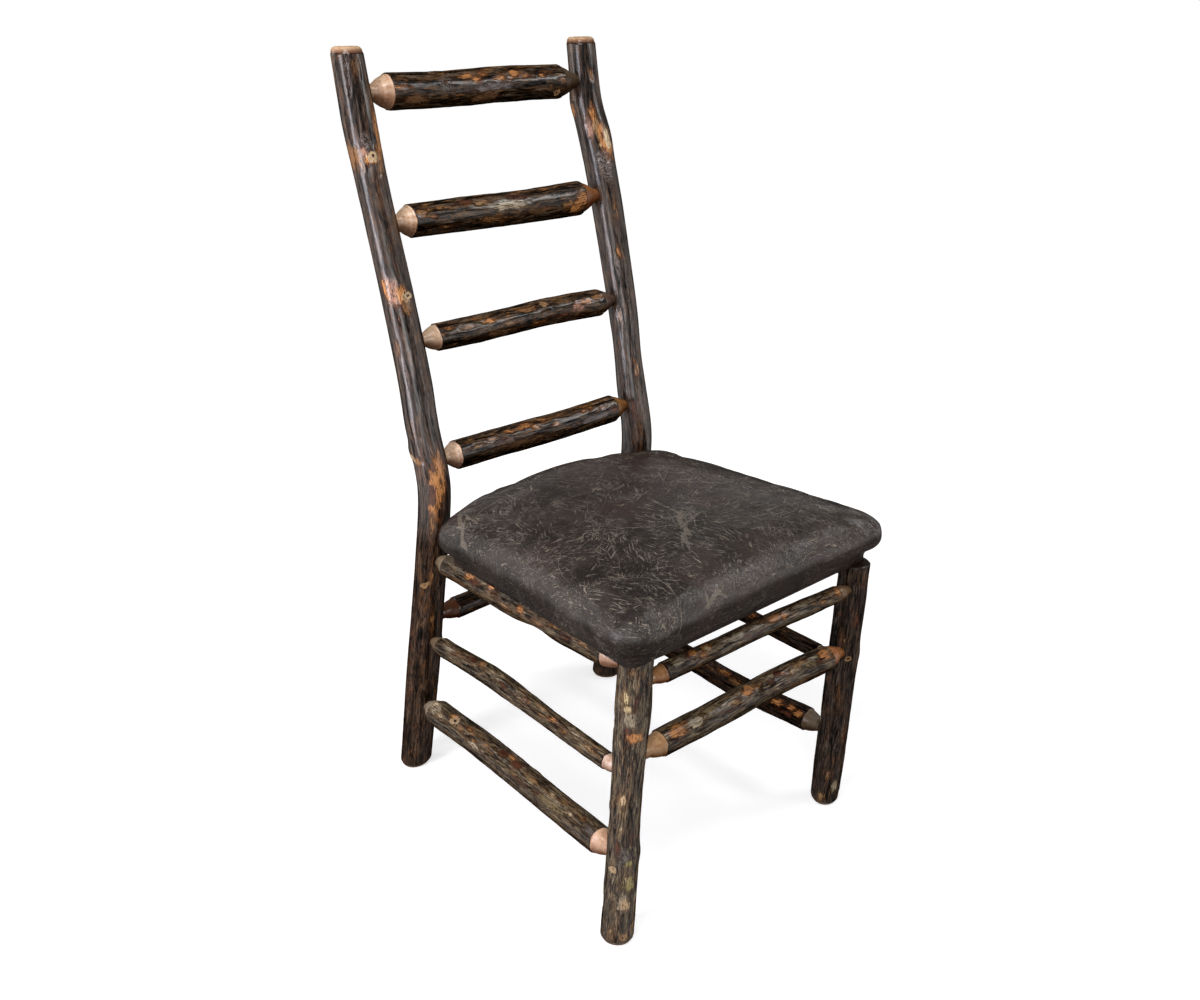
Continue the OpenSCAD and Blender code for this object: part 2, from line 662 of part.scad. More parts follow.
// Rings of the padding, grown out by some distance, from its lowest on the board to its crown.
// The crown: shares of the way out from the middle, and of its rise
pad_top = [[0.985, 0.02], [0.94, 0.24], [0.84, 0.52], [0.66, 0.78], [0.4, 0.95], [0.14, 1]];
pad_shoulder = 0.57;
function pad_rings(grow) = concat(
    [for (s = pad_side) seat_ring(pad_swell * s[1] + grow, mix(pad_low, pad_high, s[0]),
        pad_draw_in, pad_dip * s[0], pad_lift * s[0])],
    [for (s = pad_top) seat_ring(pad_swell * pad_shoulder + grow,
        pad_high + pad_crown * s[1] + grow, pad_draw_in, pad_dip * s[0] * s[0], pad_lift, s[0])]);
function reversed(list) = [for (i = [len(list) - 1 : -1 : 0]) list[i]];

module seat_board() {
    color(plywood) difference() {
        translate([0, 0, board_h])
            linear_extrude(board_t)
                polygon([for (o = outline) o[0]]);
        for (spot = screw_spots)
            translate([spot.x, spot.y, board_h - drill_start])
                cylinder(h = screw_bite + 2 * drill_start, d = screw_d + 2 * screw_gap,
                    $fn = round_facets);
    }
}

module seat_foam() {
    color(foam) skin(concat([seat_ring(-foam_round / 2, pad_low), seat_ring(0, pad_low + foam_round)],
        pad_rings(0)));
}

// The leather: one skin over the padding, down the board's edge and turned under it
under_share = 1 - 2 * turn_under / board_front_w;
function under_ring(out, z) = seat_ring(out, z, share = under_share);
module seat_cover() {
    inner = leather_gap;
    outer = leather_gap + leather_t;
    color(leather) difference() {
        skin(concat(
            reversed(concat([seat_ring(inner, board_h), seat_ring(inner, pad_low)], pad_rings(inner))),
            [under_ring(0, board_h), under_ring(0, seat_h)],
            [seat_ring(outer - leather_round, seat_h), seat_ring(outer, seat_h + leather_round),
                seat_ring(outer, pad_low)],
            pad_rings(outer)));
        for (spot = screw_spots)
            translate([spot.x, spot.y, seat_h - drill_start])
                cylinder(h = leather_t + 2 * drill_start, d = screw_d + 2 * rail_hole_gap,
                    $fn = round_facets);
    }
}

// The black cloth that closes the seat's underside, between the turned-under leather
module dust_cover() {
    color(cambric) translate([0, 0, seat_h])
        linear_extrude(leather_t)
            polygon([for (p = under_ring(-cloth_gap, 0)) [p.x, p.y]]);
}

// The seat screws, from the underside of their heads to their points
screw_point = 3;
screw_rim = 1;
module seat_screws() {
    length = screw_head_t + board_h - screw_head_h + screw_bite;
    color(steel) for (spot = screw_spots)
        translate([spot.x, spot.y, screw_head_h - screw_head_t])
            rotate_extrude($fn = round_facets)
                polygon([[0, 0], [screw_head_d / 2 - screw_rim, 0], [screw_head_d / 2, screw_rim],
                    [screw_head_d / 2, screw_head_t], [screw_d / 2, screw_head_t],
                    [screw_d / 2, length - screw_point], [0, length]]);
}

rear_post_left();
rear_post_right();
front_leg_left();
front_leg_right();
back_rung_top();
back_rung_second();
back_rung_third();
back_rung_lowest();
seat_rail_left();
seat_rail_right();
seat_rail_front();
seat_rail_rear();
side_stretcher_upper_left();
side_stretcher_upper_right();
side_stretcher_lower_left();
side_stretcher_lower_right();
front_rung_lower();
rear_stretcher();
seat_board();
seat_foam();
seat_cover();
dust_cover();
seat_screws();
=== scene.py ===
"""A side chair of bark-covered logs with a leather seat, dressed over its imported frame."""
import math

import bmesh
import bpy
import numpy as np
from mathutils import Matrix, Vector


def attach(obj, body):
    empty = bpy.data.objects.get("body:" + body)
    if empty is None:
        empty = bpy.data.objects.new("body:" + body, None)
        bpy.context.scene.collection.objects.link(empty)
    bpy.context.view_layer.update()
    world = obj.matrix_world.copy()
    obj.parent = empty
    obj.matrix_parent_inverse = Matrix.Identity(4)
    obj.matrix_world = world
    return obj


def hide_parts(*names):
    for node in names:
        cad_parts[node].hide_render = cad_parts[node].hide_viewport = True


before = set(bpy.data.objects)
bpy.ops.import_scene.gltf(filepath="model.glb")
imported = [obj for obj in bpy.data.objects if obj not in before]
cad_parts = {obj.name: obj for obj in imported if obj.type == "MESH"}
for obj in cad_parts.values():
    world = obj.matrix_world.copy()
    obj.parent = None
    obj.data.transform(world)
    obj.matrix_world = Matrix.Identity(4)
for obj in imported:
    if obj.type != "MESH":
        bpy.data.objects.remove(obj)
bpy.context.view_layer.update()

# lengths are in millimetres until a mesh is made of them
MM = 0.001
SEAT_H = 409.0
BOARD_H = 410.5
PAD_LOW = 422.5
LEFT, RIGHT = -1, 1

# Noise

CELLS = 48
TABLE = np.random.default_rng(11).random((CELLS, CELLS, CELLS)).astype(np.float32)
SEED_STEP = np.array([3.17, 7.31, 5.23])


def noise(p, seed=0):
    """Smooth noise from -1 to 1 at points p, (n, 3), in cells of size 1."""
    p = np.asarray(p, float) + SEED_STEP * seed
    cell = np.floor(p).astype(int)
    f = p - cell
    f = f * f * (3 - 2 * f)
    total = np.zeros(len(p))
    for dx in (0, 1):
        for dy in (0, 1):
            for dz in (0, 1):
                w = (f[:, 0] if dx else 1 - f[:, 0]) * (f[:, 1] if dy else 1 - f[:, 1]) \
                    * (f[:, 2] if dz else 1 - f[:, 2])
                i, j, k = ((cell + (dx, dy, dz)) % CELLS).T
                total += w * TABLE[i, j, k]
    return total * 2 - 1


def fractal(p, seed=0, octaves=3):
    """Noise in layers, each half as strong and about half as large as the last."""
    total, size, weight = 0, 1.0, 1.0
    for k in range(octaves):
        total = total + weight * noise(p * size, seed + 5 * k)
        size, weight = size * 2.03, weight * 0.5
    return total


# Grown shape of the logs, as in the part's source, in millimetres and degrees. A drift is the
# centre's offset in x and y at the foot, the bend and the top; a crook is (share of the height, dx,
# dy, reach); a knot is (share, angle, height, reach along, reach round); ALL is a knot all round

CHAIR_H, BEND_H, BEND_SOFT = 1077.0, 504.0, 34.0
FRONT_W, BACK_W, HEAD_W, BEND_W, TOP_W = 413.0, 401.0, 393.0, 387.0, 386.0
FOOT_DEPTH, FRONT_LEAN, POST_RAKE, BACK_LEAN = 503.0, 14.0, 113.0, 129.0
FRONT_Y = -242.35
BACK_Y = FRONT_Y + FOOT_DEPTH
POST_D = (50.0, 46.0, 41.0)
LEG_D = (42.0, 41.0)
ALL = 400

POST_DRIFT = {LEFT: [(-3, 4), (-1, -2), (0, -1)], RIGHT: [(2, 1), (-5, -2), (0, 1)]}
POST_CROOKS = {LEFT: [(0.891, -4.1, 3.2, 150), (0.548, -2, 1.6, 40)],
               RIGHT: [(0.915, -5, 4, 75), (0.52, -4, 3.2, 90)]}
POST_KNOTS = {LEFT: [(0.91, 0, 1.8, 50, ALL), (0.871, -100, 2.4, 14, 35), (0.367, -125, 2.4, 12, 35),
                     (0.52, 150, 2.2, 9, 30), (0.176, 0, 0.8, 80, ALL)],
              RIGHT: [(0.817, 0, 1.8, 130, ALL), (0.877, -40, 3.6, 30, 70), (0.915, 140, 3, 20, 50),
                      (0.576, 0, -2, 45, ALL)]}
LEG_DRIFT = {LEFT: [(-8, 2), (11, 6)], RIGHT: [(0, 4), (4, -11)]}
LEG_KNOTS = {LEFT: [(0.477, 0, -2.4, 80, ALL), (0.33, -60, 1.8, 15, 60), (0.232, -150, 1.6, 10, 30),
                    (0.819, -70, 1.6, 30, 60)],
             RIGHT: [(0.367, 0, 0.9, 150, ALL), (0.648, -60, 1.4, 14, 50), (0.856, -90, 1.6, 30, 60)]}


def mix(a, b, t):
    return a + (b - a) * t


def hump(x, middle, length):
    return np.exp(-((x - middle) / length) ** 2)


def turn_apart(a, b):
    return (a - b + 180) % 360 - 180


def knot_rise(knots, length, along, angle):
    rise = 0
    for share, at, height, reach, width in knots:
        rise = rise + height * hump(along, share * length, reach) * hump(turn_apart(angle, at), 0, width)
    return rise


def grown(r, t, angle, turn):
    a, turn = np.radians(angle), math.radians(turn)
    return r * (1 + 0.022 * np.cos(2 * a + turn) + 0.014 * np.cos(3 * a - turn + math.radians(150) * t)
                + 0.012 * np.sin(math.radians(830) * t + turn))


def broken(z, low, middle, high):
    """Straight from the foot to the bend and on to the top."""
    return np.where(z < BEND_H, mix(low, middle, z / BEND_H), mix(middle, high, (z - BEND_H) / (CHAIR_H - BEND_H)))


def post_line(z):
    low, high = -POST_RAKE / BEND_H, BACK_LEAN / (CHAIR_H - BEND_H)
    return BACK_Y - POST_RAKE + (low + high) / 2 * (z - BEND_H) \
        + (high - low) / 2 * np.sqrt((z - BEND_H) ** 2 + BEND_SOFT ** 2)


def post_centre(side, z):
    y = post_line(z)
    d = POST_DRIFT[side]
    x = side * broken(z, BACK_W, BEND_W, TOP_W) / 2 + broken(z, d[0][0], d[1][0], d[2][0])
    y = y + broken(z, d[0][1], d[1][1], d[2][1])
    for share, dx, dy, length in POST_CROOKS[side]:
        x, y = x + dx * hump(z, share * CHAIR_H, length), y + dy * hump(z, share * CHAIR_H, length)
    return x, y


def post_radius(side, z, angle):
    return grown(broken(z, *POST_D) / 2, z / CHAIR_H, angle, 20 + 75 * side) \
        + knot_rise(POST_KNOTS[side], CHAIR_H, z, angle)


def leg_centre(side, z):
    t, d = z / SEAT_H, LEG_DRIFT[side]
    return (side * mix(FRONT_W, HEAD_W, t) / 2 + mix(d[0][0], d[1][0], t),
            FRONT_Y - FRONT_LEAN * t + mix(d[0][1], d[1][1], t))


def leg_radius(side, z, angle):
    t = z / SEAT_H
    return grown(mix(*LEG_D, t) / 2, t, angle, 200 + 75 * side) + knot_rise(LEG_KNOTS[side], SEAT_H, z, angle)


# 8-bit colours of the bared wood and of the knots, and of lilac-grey marks that are a painted sheen on the bark
PAINT = {"orange": (172, 118, 70), "amber": (124, 88, 54), "cream": (176, 150, 116), "pink": (158, 118, 98),
         "rust": (84, 50, 34), "straw": (180, 160, 120), "grey": (148, 134, 112), "lichen": (146, 134, 86),
         "tan": (136, 106, 74), "pale": (206, 184, 152), "brown": (84, 60, 40), "olive": (112, 98, 72),
         "silver": (96, 88, 86)}


def linear(rgb):
    c = np.asarray(rgb, float) / 255
    return np.where(c < 0.04045, c / 12.92, ((c + 0.055) / 1.055) ** 2.4)


# A joint is the centre of the post or leg, its radius towards the rung and how steeply it leans.
# A run is a rung's two joints

def post_joint(side, z, angle):
    x, y = post_centre(side, z)
    return (x, y, z), post_radius(side, z, angle), abs(post_line(z + 5) - post_line(z - 5)) / 10


def leg_joint(side, z, angle, ahead=0.0):
    x, y = leg_centre(side, z)
    foot, head = leg_centre(side, 0), leg_centre(side, SEAT_H)
    lean = math.hypot(head[0] - foot[0], head[1] - foot[1]) / SEAT_H
    return (x, y - ahead, z), leg_radius(side, z, angle), lean


def back_run(z, tilt=0.0):
    return post_joint(LEFT, z - tilt / 2, 0), post_joint(RIGHT, z + tilt / 2, 180)


def front_run(z):
    return leg_joint(LEFT, z, 0, FRONT_SET), leg_joint(RIGHT, z, 180, FRONT_SET)


def side_run(side, z, rise=0.0):
    return post_joint(side, z - rise / 2, 270), leg_joint(side, z + rise / 2, 90)


RUNG_TOP_H, RUNG_LOW_H, BACK_TILT = 1015.0, 542.0, 3.0
RUNG_2_H = mix(RUNG_TOP_H, RUNG_LOW_H, 1 / 3) - 3
RUNG_3_H = mix(RUNG_TOP_H, RUNG_LOW_H, 2 / 3) + 2
RAIL_H, FRONT_RAIL_H, REAR_RAIL_H = 393.0, 373.0, 366.0
UPPER_H, UPPER_RISE, LOWER_H, LOWER_RISE = 248.0, -7.0, 125.0, -4.0
FRONT_RUNG_H, REAR_RUNG_H, FRONT_SET = 273.0, 283.0, 6.0
BIG, MID, SMALL = 21.0, 18.0, 15.0

# Each rung: (run, diameters at its ends, tenon, lengths of its cones, bow, knots, turn of its oval)
RUNGS = {
    "back_rung_top": (back_run(RUNG_TOP_H, BACK_TILT), (46.5, 48.5), BIG, (20, 26), (2, 0, -2),
                      [(0.31, 120, 1.2, 10, 30), (0.65, 240, 1, 24, 60)], 10),
    "back_rung_second": (back_run(RUNG_2_H, BACK_TILT), (43, 48.5), BIG, (15, 27), (-2, -1, 1),
                         [(0.775, 150, 1.2, 20, 50)], 130),
    "back_rung_third": (back_run(RUNG_3_H, BACK_TILT), (36, 40), MID, (17, 20), (2, 1, -2),
                        [(0.61, 160, 2, 10, 35)], 250),
    "back_rung_lowest": (back_run(RUNG_LOW_H, BACK_TILT), (41.5, 42), MID, (14, 22), (1, -2, 1),
                         [(0.7, 130, 1.4, 14, 40)], 70),
    "seat_rail_left": (side_run(LEFT, RAIL_H), (36, 36), MID, (20, 20), (-2, 0, 1),
                       [(0.165, 270, -3.5, 45, 70), (0.6, 270, -5, 28, 70)], 40),
    "seat_rail_right": (side_run(RIGHT, RAIL_H), (36, 36), MID, (20, 20), (2, 0, -1),
                        [(0.34, 270, -3, 40, 70), (0.68, 280, -2, 40, 60)], 160),
    "seat_rail_front": (front_run(FRONT_RAIL_H), (25, 23), SMALL, (15, 15), (1, 1, -1),
                        [(0.32, 150, 1.6, 12, 50), (0.745, 150, 1.2, 16, 60)], 300),
    "seat_rail_rear": (back_run(REAR_RAIL_H), (26, 26), SMALL, (15, 15), (1, 1, 1),
                       [(0.385, 200, 1.2, 14, 50)], 220),
    "side_stretcher_upper_left": (side_run(LEFT, UPPER_H, UPPER_RISE), (27, 22), SMALL, (15, 15), (2, 4.5, 3),
                                  [(0.4, 0, 2, 90, ALL), (0.355, 110, 2.4, 13, 45)], 15),
    "side_stretcher_upper_right": (side_run(RIGHT, UPPER_H, UPPER_RISE), (25, 22), SMALL, (15, 15), (-1, 5, 0),
                                   [(0.53, 120, 1.6, 14, 45)], 145),
    "side_stretcher_lower_left": (side_run(LEFT, LOWER_H, LOWER_RISE), (41, 37), MID, (20, 20), (2, 1.5, 2),
                                  [(0.157, 150, 1.8, 18, 45), (0.366, 120, 1.2, 14, 40)], 95),
    "side_stretcher_lower_right": (side_run(RIGHT, LOWER_H, LOWER_RISE), (33, 35.5), MID, (20, 20), (-2, -4, 4),
                                   [(0.52, 130, 1.4, 20, 50)], 275),
    "front_rung_lower": (front_run(FRONT_RUNG_H), (34.5, 35.5), MID, (20, 20), (1, 2, -2),
                         [(0.55, 140, 2.2, 12, 40), (0.276, 160, 1.4, 12, 50)], 185),
    "rear_stretcher": (back_run(REAR_RUNG_H), (32, 31), MID, (20, 20), (1, 2, 1),
                       [(0.305, 150, 1.6, 16, 45)], 330),
}

# Marks in the bark. Each is (kind, place along, angle round, half length, half width) in
# millimetres and degrees. A kind gives the colour of the bared wood, or says it is a knot; the
# lilac-grey marks are a painted sheen
MARKS = {
    "rear_post_left": [
        ("knot_cream", 939.6, 262, 6, 6), ("knot_wrinkle", 956, 250, 10, 6), ("orange", 969.6, 309, 36, 8),
        ("orange", 942, 295, 14, 10), ("orange", 936, 250, 7, 14), ("amber", 936, 215, 16, 7),
        ("amber", 940, 180, 18, 9), ("pink", 944, 236, 6, 5), ("amber", 925, 290, 10, 8),
        ("rust", 774, 200, 17, 7), ("orange", 776, 212, 19, 7), ("pink", 772, 232, 17, 10),
        ("orange", 768, 255, 12, 8), ("knot_cream", 765, 281, 6, 6), ("amber", 754, 268, 12, 6),
        ("knot_cream", 552, 172, 5, 5), ("amber", 548, 196, 6, 8), ("orange", 536, 268, 26, 10),
        ("orange", 512, 252, 30, 12), ("orange", 480, 236, 24, 6), ("amber", 456, 232, 26, 4),
        ("rust", 500, 232, 18, 6), ("knot_amber", 356, 222, 6, 6), ("amber", 292, 256, 13, 3),
        ("amber", 372, 240, 12, 3), ("brown", 850, 300, 26, 5), ("brown", 660, 290, 30, 5),
        ("amber", 700, 205, 12, 3), ("orange", 860, 90, 20, 8), ("amber", 620, 60, 28, 7),
        ("knot_amber", 680, 110, 6, 6), ("orange", 330, 40, 18, 8), ("amber", 200, 120, 24, 6),
        ("amber", 140, 300, 16, 4), ("knot_amber", 240, 330, 6, 5), ("silver", 1040, 235, 26, 3),
        ("brown", 1046, 262, 14, 6),
    ],
    "rear_post_right": [
        ("orange", 976, 158, 12, 7), ("amber", 1000, 175, 18, 4), ("orange", 972, 243, 14, 5),
        ("pink", 952, 222, 16, 5), ("tan", 950, 256, 18, 8), ("orange", 934, 268, 26, 9),
        ("orange", 925, 290, 20, 8), ("pale", 936, 284, 17, 6.5), ("rust", 940, 262, 10, 2.5),
        ("cream", 926, 250, 4, 3.4), ("knot_wrinkle", 898, 258, 20, 11), ("knot_wrinkle", 906, 236, 12, 7),
        ("orange", 774, 247, 7, 4), ("rust", 760, 235, 8, 3), ("amber", 840, 262, 16, 3),
        ("amber", 680, 215, 14, 4), ("orange", 600, 262, 12, 4), ("amber", 1024, 262, 10, 4),
        ("orange", 900, 60, 24, 8), ("knot_amber", 820, 100, 6, 6), ("amber", 640, 40, 30, 7),
        ("orange", 400, 90, 18, 8), ("amber", 250, 200, 24, 6), ("knot_amber", 320, 240, 6, 6),
        ("amber", 120, 150, 18, 6), ("rust", 540, 225, 20, 4),
    ],
    "front_leg_left": [
        ("straw", 362, 200, 11, 6), ("straw", 348, 208, 5, 5), ("knot_wrinkle", 332, 222, 9, 9),
        ("grey", 334, 222, 10, 9), ("orange", 310, 240, 7, 12), ("rust", 318, 212, 5, 5),
        ("rust", 356, 240, 10, 3), ("tan", 396, 222, 4, 5), ("cream", 218, 211, 10, 7),
        ("cream", 204, 215, 5, 3), ("amber", 222, 196, 8, 2.5), ("pale", 178, 213, 3, 2.5),
        ("rust", 150, 205, 14, 5), ("rust", 162, 255, 14, 3), ("knot_wrinkle", 140, 226, 12, 9),
        ("knot_cream", 119, 193, 5, 5), ("lichen", 129, 252, 5, 4.5), ("lichen", 96, 262, 14, 8),
        ("straw", 104, 246, 7, 4), ("grey", 70, 240, 14, 9), ("cream", 66, 246, 9, 7), ("tan", 20, 205, 12, 5),
        ("tan", 15, 250, 8, 8), ("tan", 28, 290, 8, 5), ("orange", 260, 20, 16, 8), ("tan", 120, 60, 18, 8),
        ("knot_amber", 200, 120, 6, 6), ("amber", 320, 130, 14, 6), ("grey", 60, 130, 14, 8),
        ("amber", 300, 330, 10, 5),
    ],
    "front_leg_right": [
        ("knot_amber", 265, 236, 5, 5), ("tan", 293, 212, 10, 3), ("rust", 330, 250, 16, 4),
        ("tan", 60, 215, 12, 4), ("tan", 16, 200, 9, 6), ("grey", 40, 250, 12, 6), ("brown", 200, 220, 24, 5),
        ("amber", 130, 262, 14, 3), ("orange", 200, 40, 16, 8), ("amber", 320, 100, 14, 6),
        ("knot_amber", 90, 330, 6, 6), ("grey", 150, 130, 16, 8), ("tan", 12, 300, 8, 8),
    ],
    "back_rung_top": [
        ("orange", 50, 165, 15, 2.6), ("amber", 34, 160, 6, 4), ("knot_wrinkle", 128, 160, 9, 8),
        ("knot_dark", 128, 158, 4, 4), ("amber", 120, 120, 12, 3), ("orange", 165, 138, 11, 5),
        ("orange", 178, 150, 10, 5), ("orange", 190, 138, 8, 3), ("orange", 215, 156, 9, 4),
        ("orange", 245, 142, 12, 5), ("orange", 262, 155, 11, 4), ("orange", 232, 160, 5, 3),
        ("orange", 290, 154, 6, 4), ("amber", 300, 140, 10, 3), ("knot_amber", 316, 215, 6, 6),
        ("amber", 325, 170, 8, 5), ("rust", 338, 190, 7, 9), ("brown", 78, 205, 20, 8),
        ("brown", 190, 212, 24, 7), ("amber", 300, 60, 20, 7), ("orange", 120, 20, 18, 8),
        ("silver", 200, 182, 46, 6), ("amber", 210, 300, 22, 6),
    ],
    "back_rung_second": [
        ("amber", 52, 150, 9, 6), ("amber", 80, 140, 16, 4), ("rust", 120, 128, 16, 5),
        ("orange", 66, 166, 6, 3), ("tan", 345, 170, 9, 14), ("orange", 322, 178, 13, 12),
        ("orange", 312, 200, 14, 9), ("amber", 296, 186, 12, 6), ("grey", 190, 158, 34, 8),
        ("brown", 240, 190, 26, 6), ("amber", 160, 205, 22, 4), ("rust", 210, 135, 18, 4),
        ("orange", 120, 30, 20, 7), ("amber", 260, 330, 24, 7), ("amber", 90, 210, 14, 3),
        ("tan", 150, 140, 20, 4),
    ],
    "back_rung_third": [
        ("knot_amber", 224, 126, 6, 6), ("amber", 196, 130, 20, 5), ("orange", 128, 140, 10, 3.5),
        ("amber", 90, 150, 18, 4), ("pink", 282, 170, 12, 8), ("orange", 300, 150, 14, 4),
        ("rust", 250, 190, 18, 5), ("tan", 160, 172, 16, 3), ("orange", 60, 132, 9, 3),
        ("amber", 44, 160, 6, 4), ("orange", 212, 200, 10, 3), ("amber", 322, 140, 12, 5),
        ("orange", 180, 20, 18, 6), ("amber", 120, 300, 18, 6), ("brown", 140, 205, 26, 5),
    ],
    "back_rung_lowest": [
        ("orange", 155, 124, 15, 5), ("orange", 172, 140, 9, 4), ("orange", 128, 130, 9, 3.4),
        ("amber", 96, 140, 12, 4), ("rust", 118, 155, 20, 4), ("orange", 264, 134, 6, 3),
        ("orange", 280, 126, 7, 3), ("orange", 300, 140, 9, 3), ("orange", 338, 124, 9, 7),
        ("amber", 350, 155, 5, 8), ("amber", 224, 116, 16, 3), ("orange", 210, 150, 9, 3),
        ("tan", 66, 150, 9, 3), ("brown", 150, 185, 40, 6), ("rust", 320, 165, 16, 4),
        ("silver", 280, 172, 40, 5), ("orange", 60, 40, 18, 6), ("amber", 240, 330, 20, 6),
        ("orange", 190, 118, 8, 3),
    ],
    "seat_rail_left": [
        ("orange", 114, 136, 9, 5), ("rust", 128, 150, 14, 5), ("orange", 162, 132, 7, 5),
        ("rust", 176, 150, 11, 5), ("orange", 228, 150, 8, 5), ("amber", 296, 140, 12, 5),
        ("rust", 320, 165, 12, 4), ("grey", 36, 165, 12, 10), ("amber", 262, 170, 12, 3),
        ("tan", 196, 175, 14, 3), ("brown", 90, 190, 26, 6), ("brown", 250, 210, 26, 6),
        ("tan", 350, 150, 14, 4), ("amber", 200, 330, 20, 7),
    ],
    "seat_rail_right": [
        ("orange", 120, 30, 14, 6), ("amber", 210, 20, 18, 6), ("rust", 300, 40, 14, 6),
        ("amber", 170, 180, 14, 5), ("orange", 330, 200, 12, 5), ("knot_amber", 260, 10, 6, 6),
        ("tan", 90, 330, 18, 5),
    ],
    "seat_rail_front": [
        ("orange", 83, 110, 6, 6), ("rust", 76, 130, 6, 5), ("orange", 105, 108, 7, 6),
        ("knot_cream", 105, 118, 3.5, 3.5), ("orange", 96, 140, 7, 4), ("orange", 223, 122, 10, 6),
        ("orange", 240, 135, 6, 5), ("amber", 205, 105, 8, 4), ("tan", 330, 120, 12, 5),
        ("orange", 345, 128, 8, 8), ("grey", 60, 120, 10, 6), ("grey", 150, 120, 26, 5),
        ("grey", 280, 112, 26, 5), ("rust", 180, 160, 14, 3), ("amber", 310, 150, 10, 3),
        ("orange", 200, 20, 16, 5),
    ],
    "seat_rail_rear": [
        ("amber", 100, 20, 14, 5), ("orange", 190, 340, 12, 5), ("knot_amber", 260, 20, 5, 5),
        ("amber", 300, 180, 16, 4),
    ],
    "side_stretcher_upper_left": [
        ("orange", 152, 104, 6, 5), ("knot_amber", 158, 104, 4, 4), ("rust", 130, 110, 10, 4),
        ("pink", 254, 130, 4, 4), ("cream", 250, 124, 3, 2.5), ("orange", 262, 120, 5, 3),
        ("orange", 312, 124, 9, 4), ("amber", 335, 135, 9, 3), ("rust", 205, 140, 14, 3),
        ("tan", 100, 130, 16, 3), ("grey", 70, 120, 18, 4), ("grey", 360, 110, 24, 4),
        ("amber", 300, 20, 16, 4), ("orange", 180, 20, 12, 5), ("tan", 390, 130, 12, 3),
    ],
    "side_stretcher_upper_right": [
        ("amber", 240, 130, 9, 4), ("orange", 300, 120, 8, 4), ("rust", 180, 140, 12, 4),
        ("tan", 350, 110, 12, 3), ("orange", 120, 30, 12, 5), ("amber", 380, 20, 12, 4),
        ("grey", 90, 110, 20, 4),
    ],
    "side_stretcher_lower_left": [
        ("knot_cream", 113, 116, 8, 7), ("orange", 102, 100, 9, 5), ("grey", 62, 118, 16, 14),
        ("pale", 52, 105, 8, 5), ("pale", 78, 132, 9, 3), ("amber", 130, 128, 10, 5),
        ("orange", 145, 108, 8, 3), ("rust", 225, 96, 11, 7), ("rust", 258, 100, 12, 7),
        ("orange", 243, 88, 7, 4), ("amber", 190, 120, 14, 3), ("tan", 300, 110, 14, 3),
        ("cream", 340, 112, 6, 3), ("tan", 362, 98, 8, 4), ("cream", 385, 120, 7, 3), ("rust", 326, 136, 14, 3),
        ("tan", 405, 104, 7, 4), ("olive", 350, 140, 30, 8), ("rust", 286, 150, 16, 3),
        ("grey", 170, 150, 24, 4), ("orange", 200, 20, 16, 7), ("amber", 330, 330, 18, 6),
        ("knot_amber", 280, 30, 6, 6), ("silver", 425, 125, 9, 3), ("orange", 168, 132, 7, 3),
    ],
    "side_stretcher_lower_right": [
        ("orange", 385, 128, 12, 6), ("amber", 360, 140, 12, 4), ("orange", 408, 120, 7, 5),
        ("rust", 330, 120, 14, 4), ("amber", 300, 128, 14, 5), ("orange", 270, 110, 10, 4),
        ("tan", 240, 130, 14, 3), ("orange", 426, 140, 8, 5), ("rust", 200, 120, 20, 4),
        ("amber", 150, 140, 14, 4), ("orange", 120, 20, 18, 6), ("amber", 260, 30, 14, 6),
        ("knot_amber", 320, 350, 6, 6), ("rust", 400, 160, 16, 4),
    ],
    "front_rung_lower": [
        ("orange", 63, 126, 14, 10), ("amber", 80, 112, 6, 6), ("grey", 40, 128, 9, 9), ("pale", 33, 116, 5, 5),
        ("grey", 94, 128, 11, 8), ("olive", 126, 112, 16, 9), ("knot_orange", 192, 108, 6, 6),
        ("orange", 186, 122, 10, 6), ("amber", 205, 118, 8, 5), ("rust", 249, 112, 10, 7),
        ("rust", 232, 130, 10, 5), ("pink", 256, 120, 6, 3), ("grey", 228, 100, 14, 4),
        ("tan", 290, 112, 14, 5), ("olive", 306, 130, 18, 6), ("orange", 338, 118, 12, 8),
        ("orange", 354, 130, 6, 9), ("rust", 324, 140, 12, 4), ("tan", 160, 130, 14, 4),
        ("rust", 150, 150, 14, 3), ("orange", 200, 20, 16, 6), ("amber", 110, 330, 18, 6),
        ("amber", 280, 200, 16, 4), ("cream", 270, 128, 4, 2.5),
    ],
    "rear_stretcher": [
        ("knot_rust", 34, 165, 8, 8), ("rust", 48, 150, 8, 5), ("amber", 120, 150, 14, 3),
        ("orange", 240, 150, 10, 4), ("amber", 200, 20, 18, 5), ("orange", 300, 340, 14, 6),
        ("knot_amber", 150, 10, 6, 6), ("rust", 320, 170, 14, 4),
    ],
}

# Colour of the shaved cone at each end of a rung, where it isn't the usual cream. The darker
# ones at the right ends of the back and front rungs are partly stained wood and partly painted shade
CONES = {"back_rung_top": ((206, 176, 148), (92, 78, 62)), "back_rung_second": ((214, 186, 158), (142, 96, 62)),
         "back_rung_third": ((204, 178, 152), (98, 80, 70)), "back_rung_lowest": ((208, 180, 154), (136, 96, 56)),
         "seat_rail_left": ((128, 116, 98), (206, 174, 150)), "seat_rail_front": ((168, 124, 82), (120, 98, 72)),
         "side_stretcher_upper_left": ((120, 104, 84), (206, 178, 160)),
         "side_stretcher_lower_left": ((150, 140, 120), (206, 170, 142)),
         "side_stretcher_lower_right": ((110, 82, 56), (112, 100, 84)),
         "front_rung_lower": ((182, 146, 108), (160, 110, 72)), "rear_stretcher": ((104, 66, 44), (120, 90, 62)),
         "seat_rail_rear": ((110, 80, 56), (110, 80, 56))}

KNOT_COLOUR = {"knot_cream": "cream", "knot_amber": "tan", "knot_orange": "orange", "knot_rust": "rust",
               "knot_dark": "brown"}


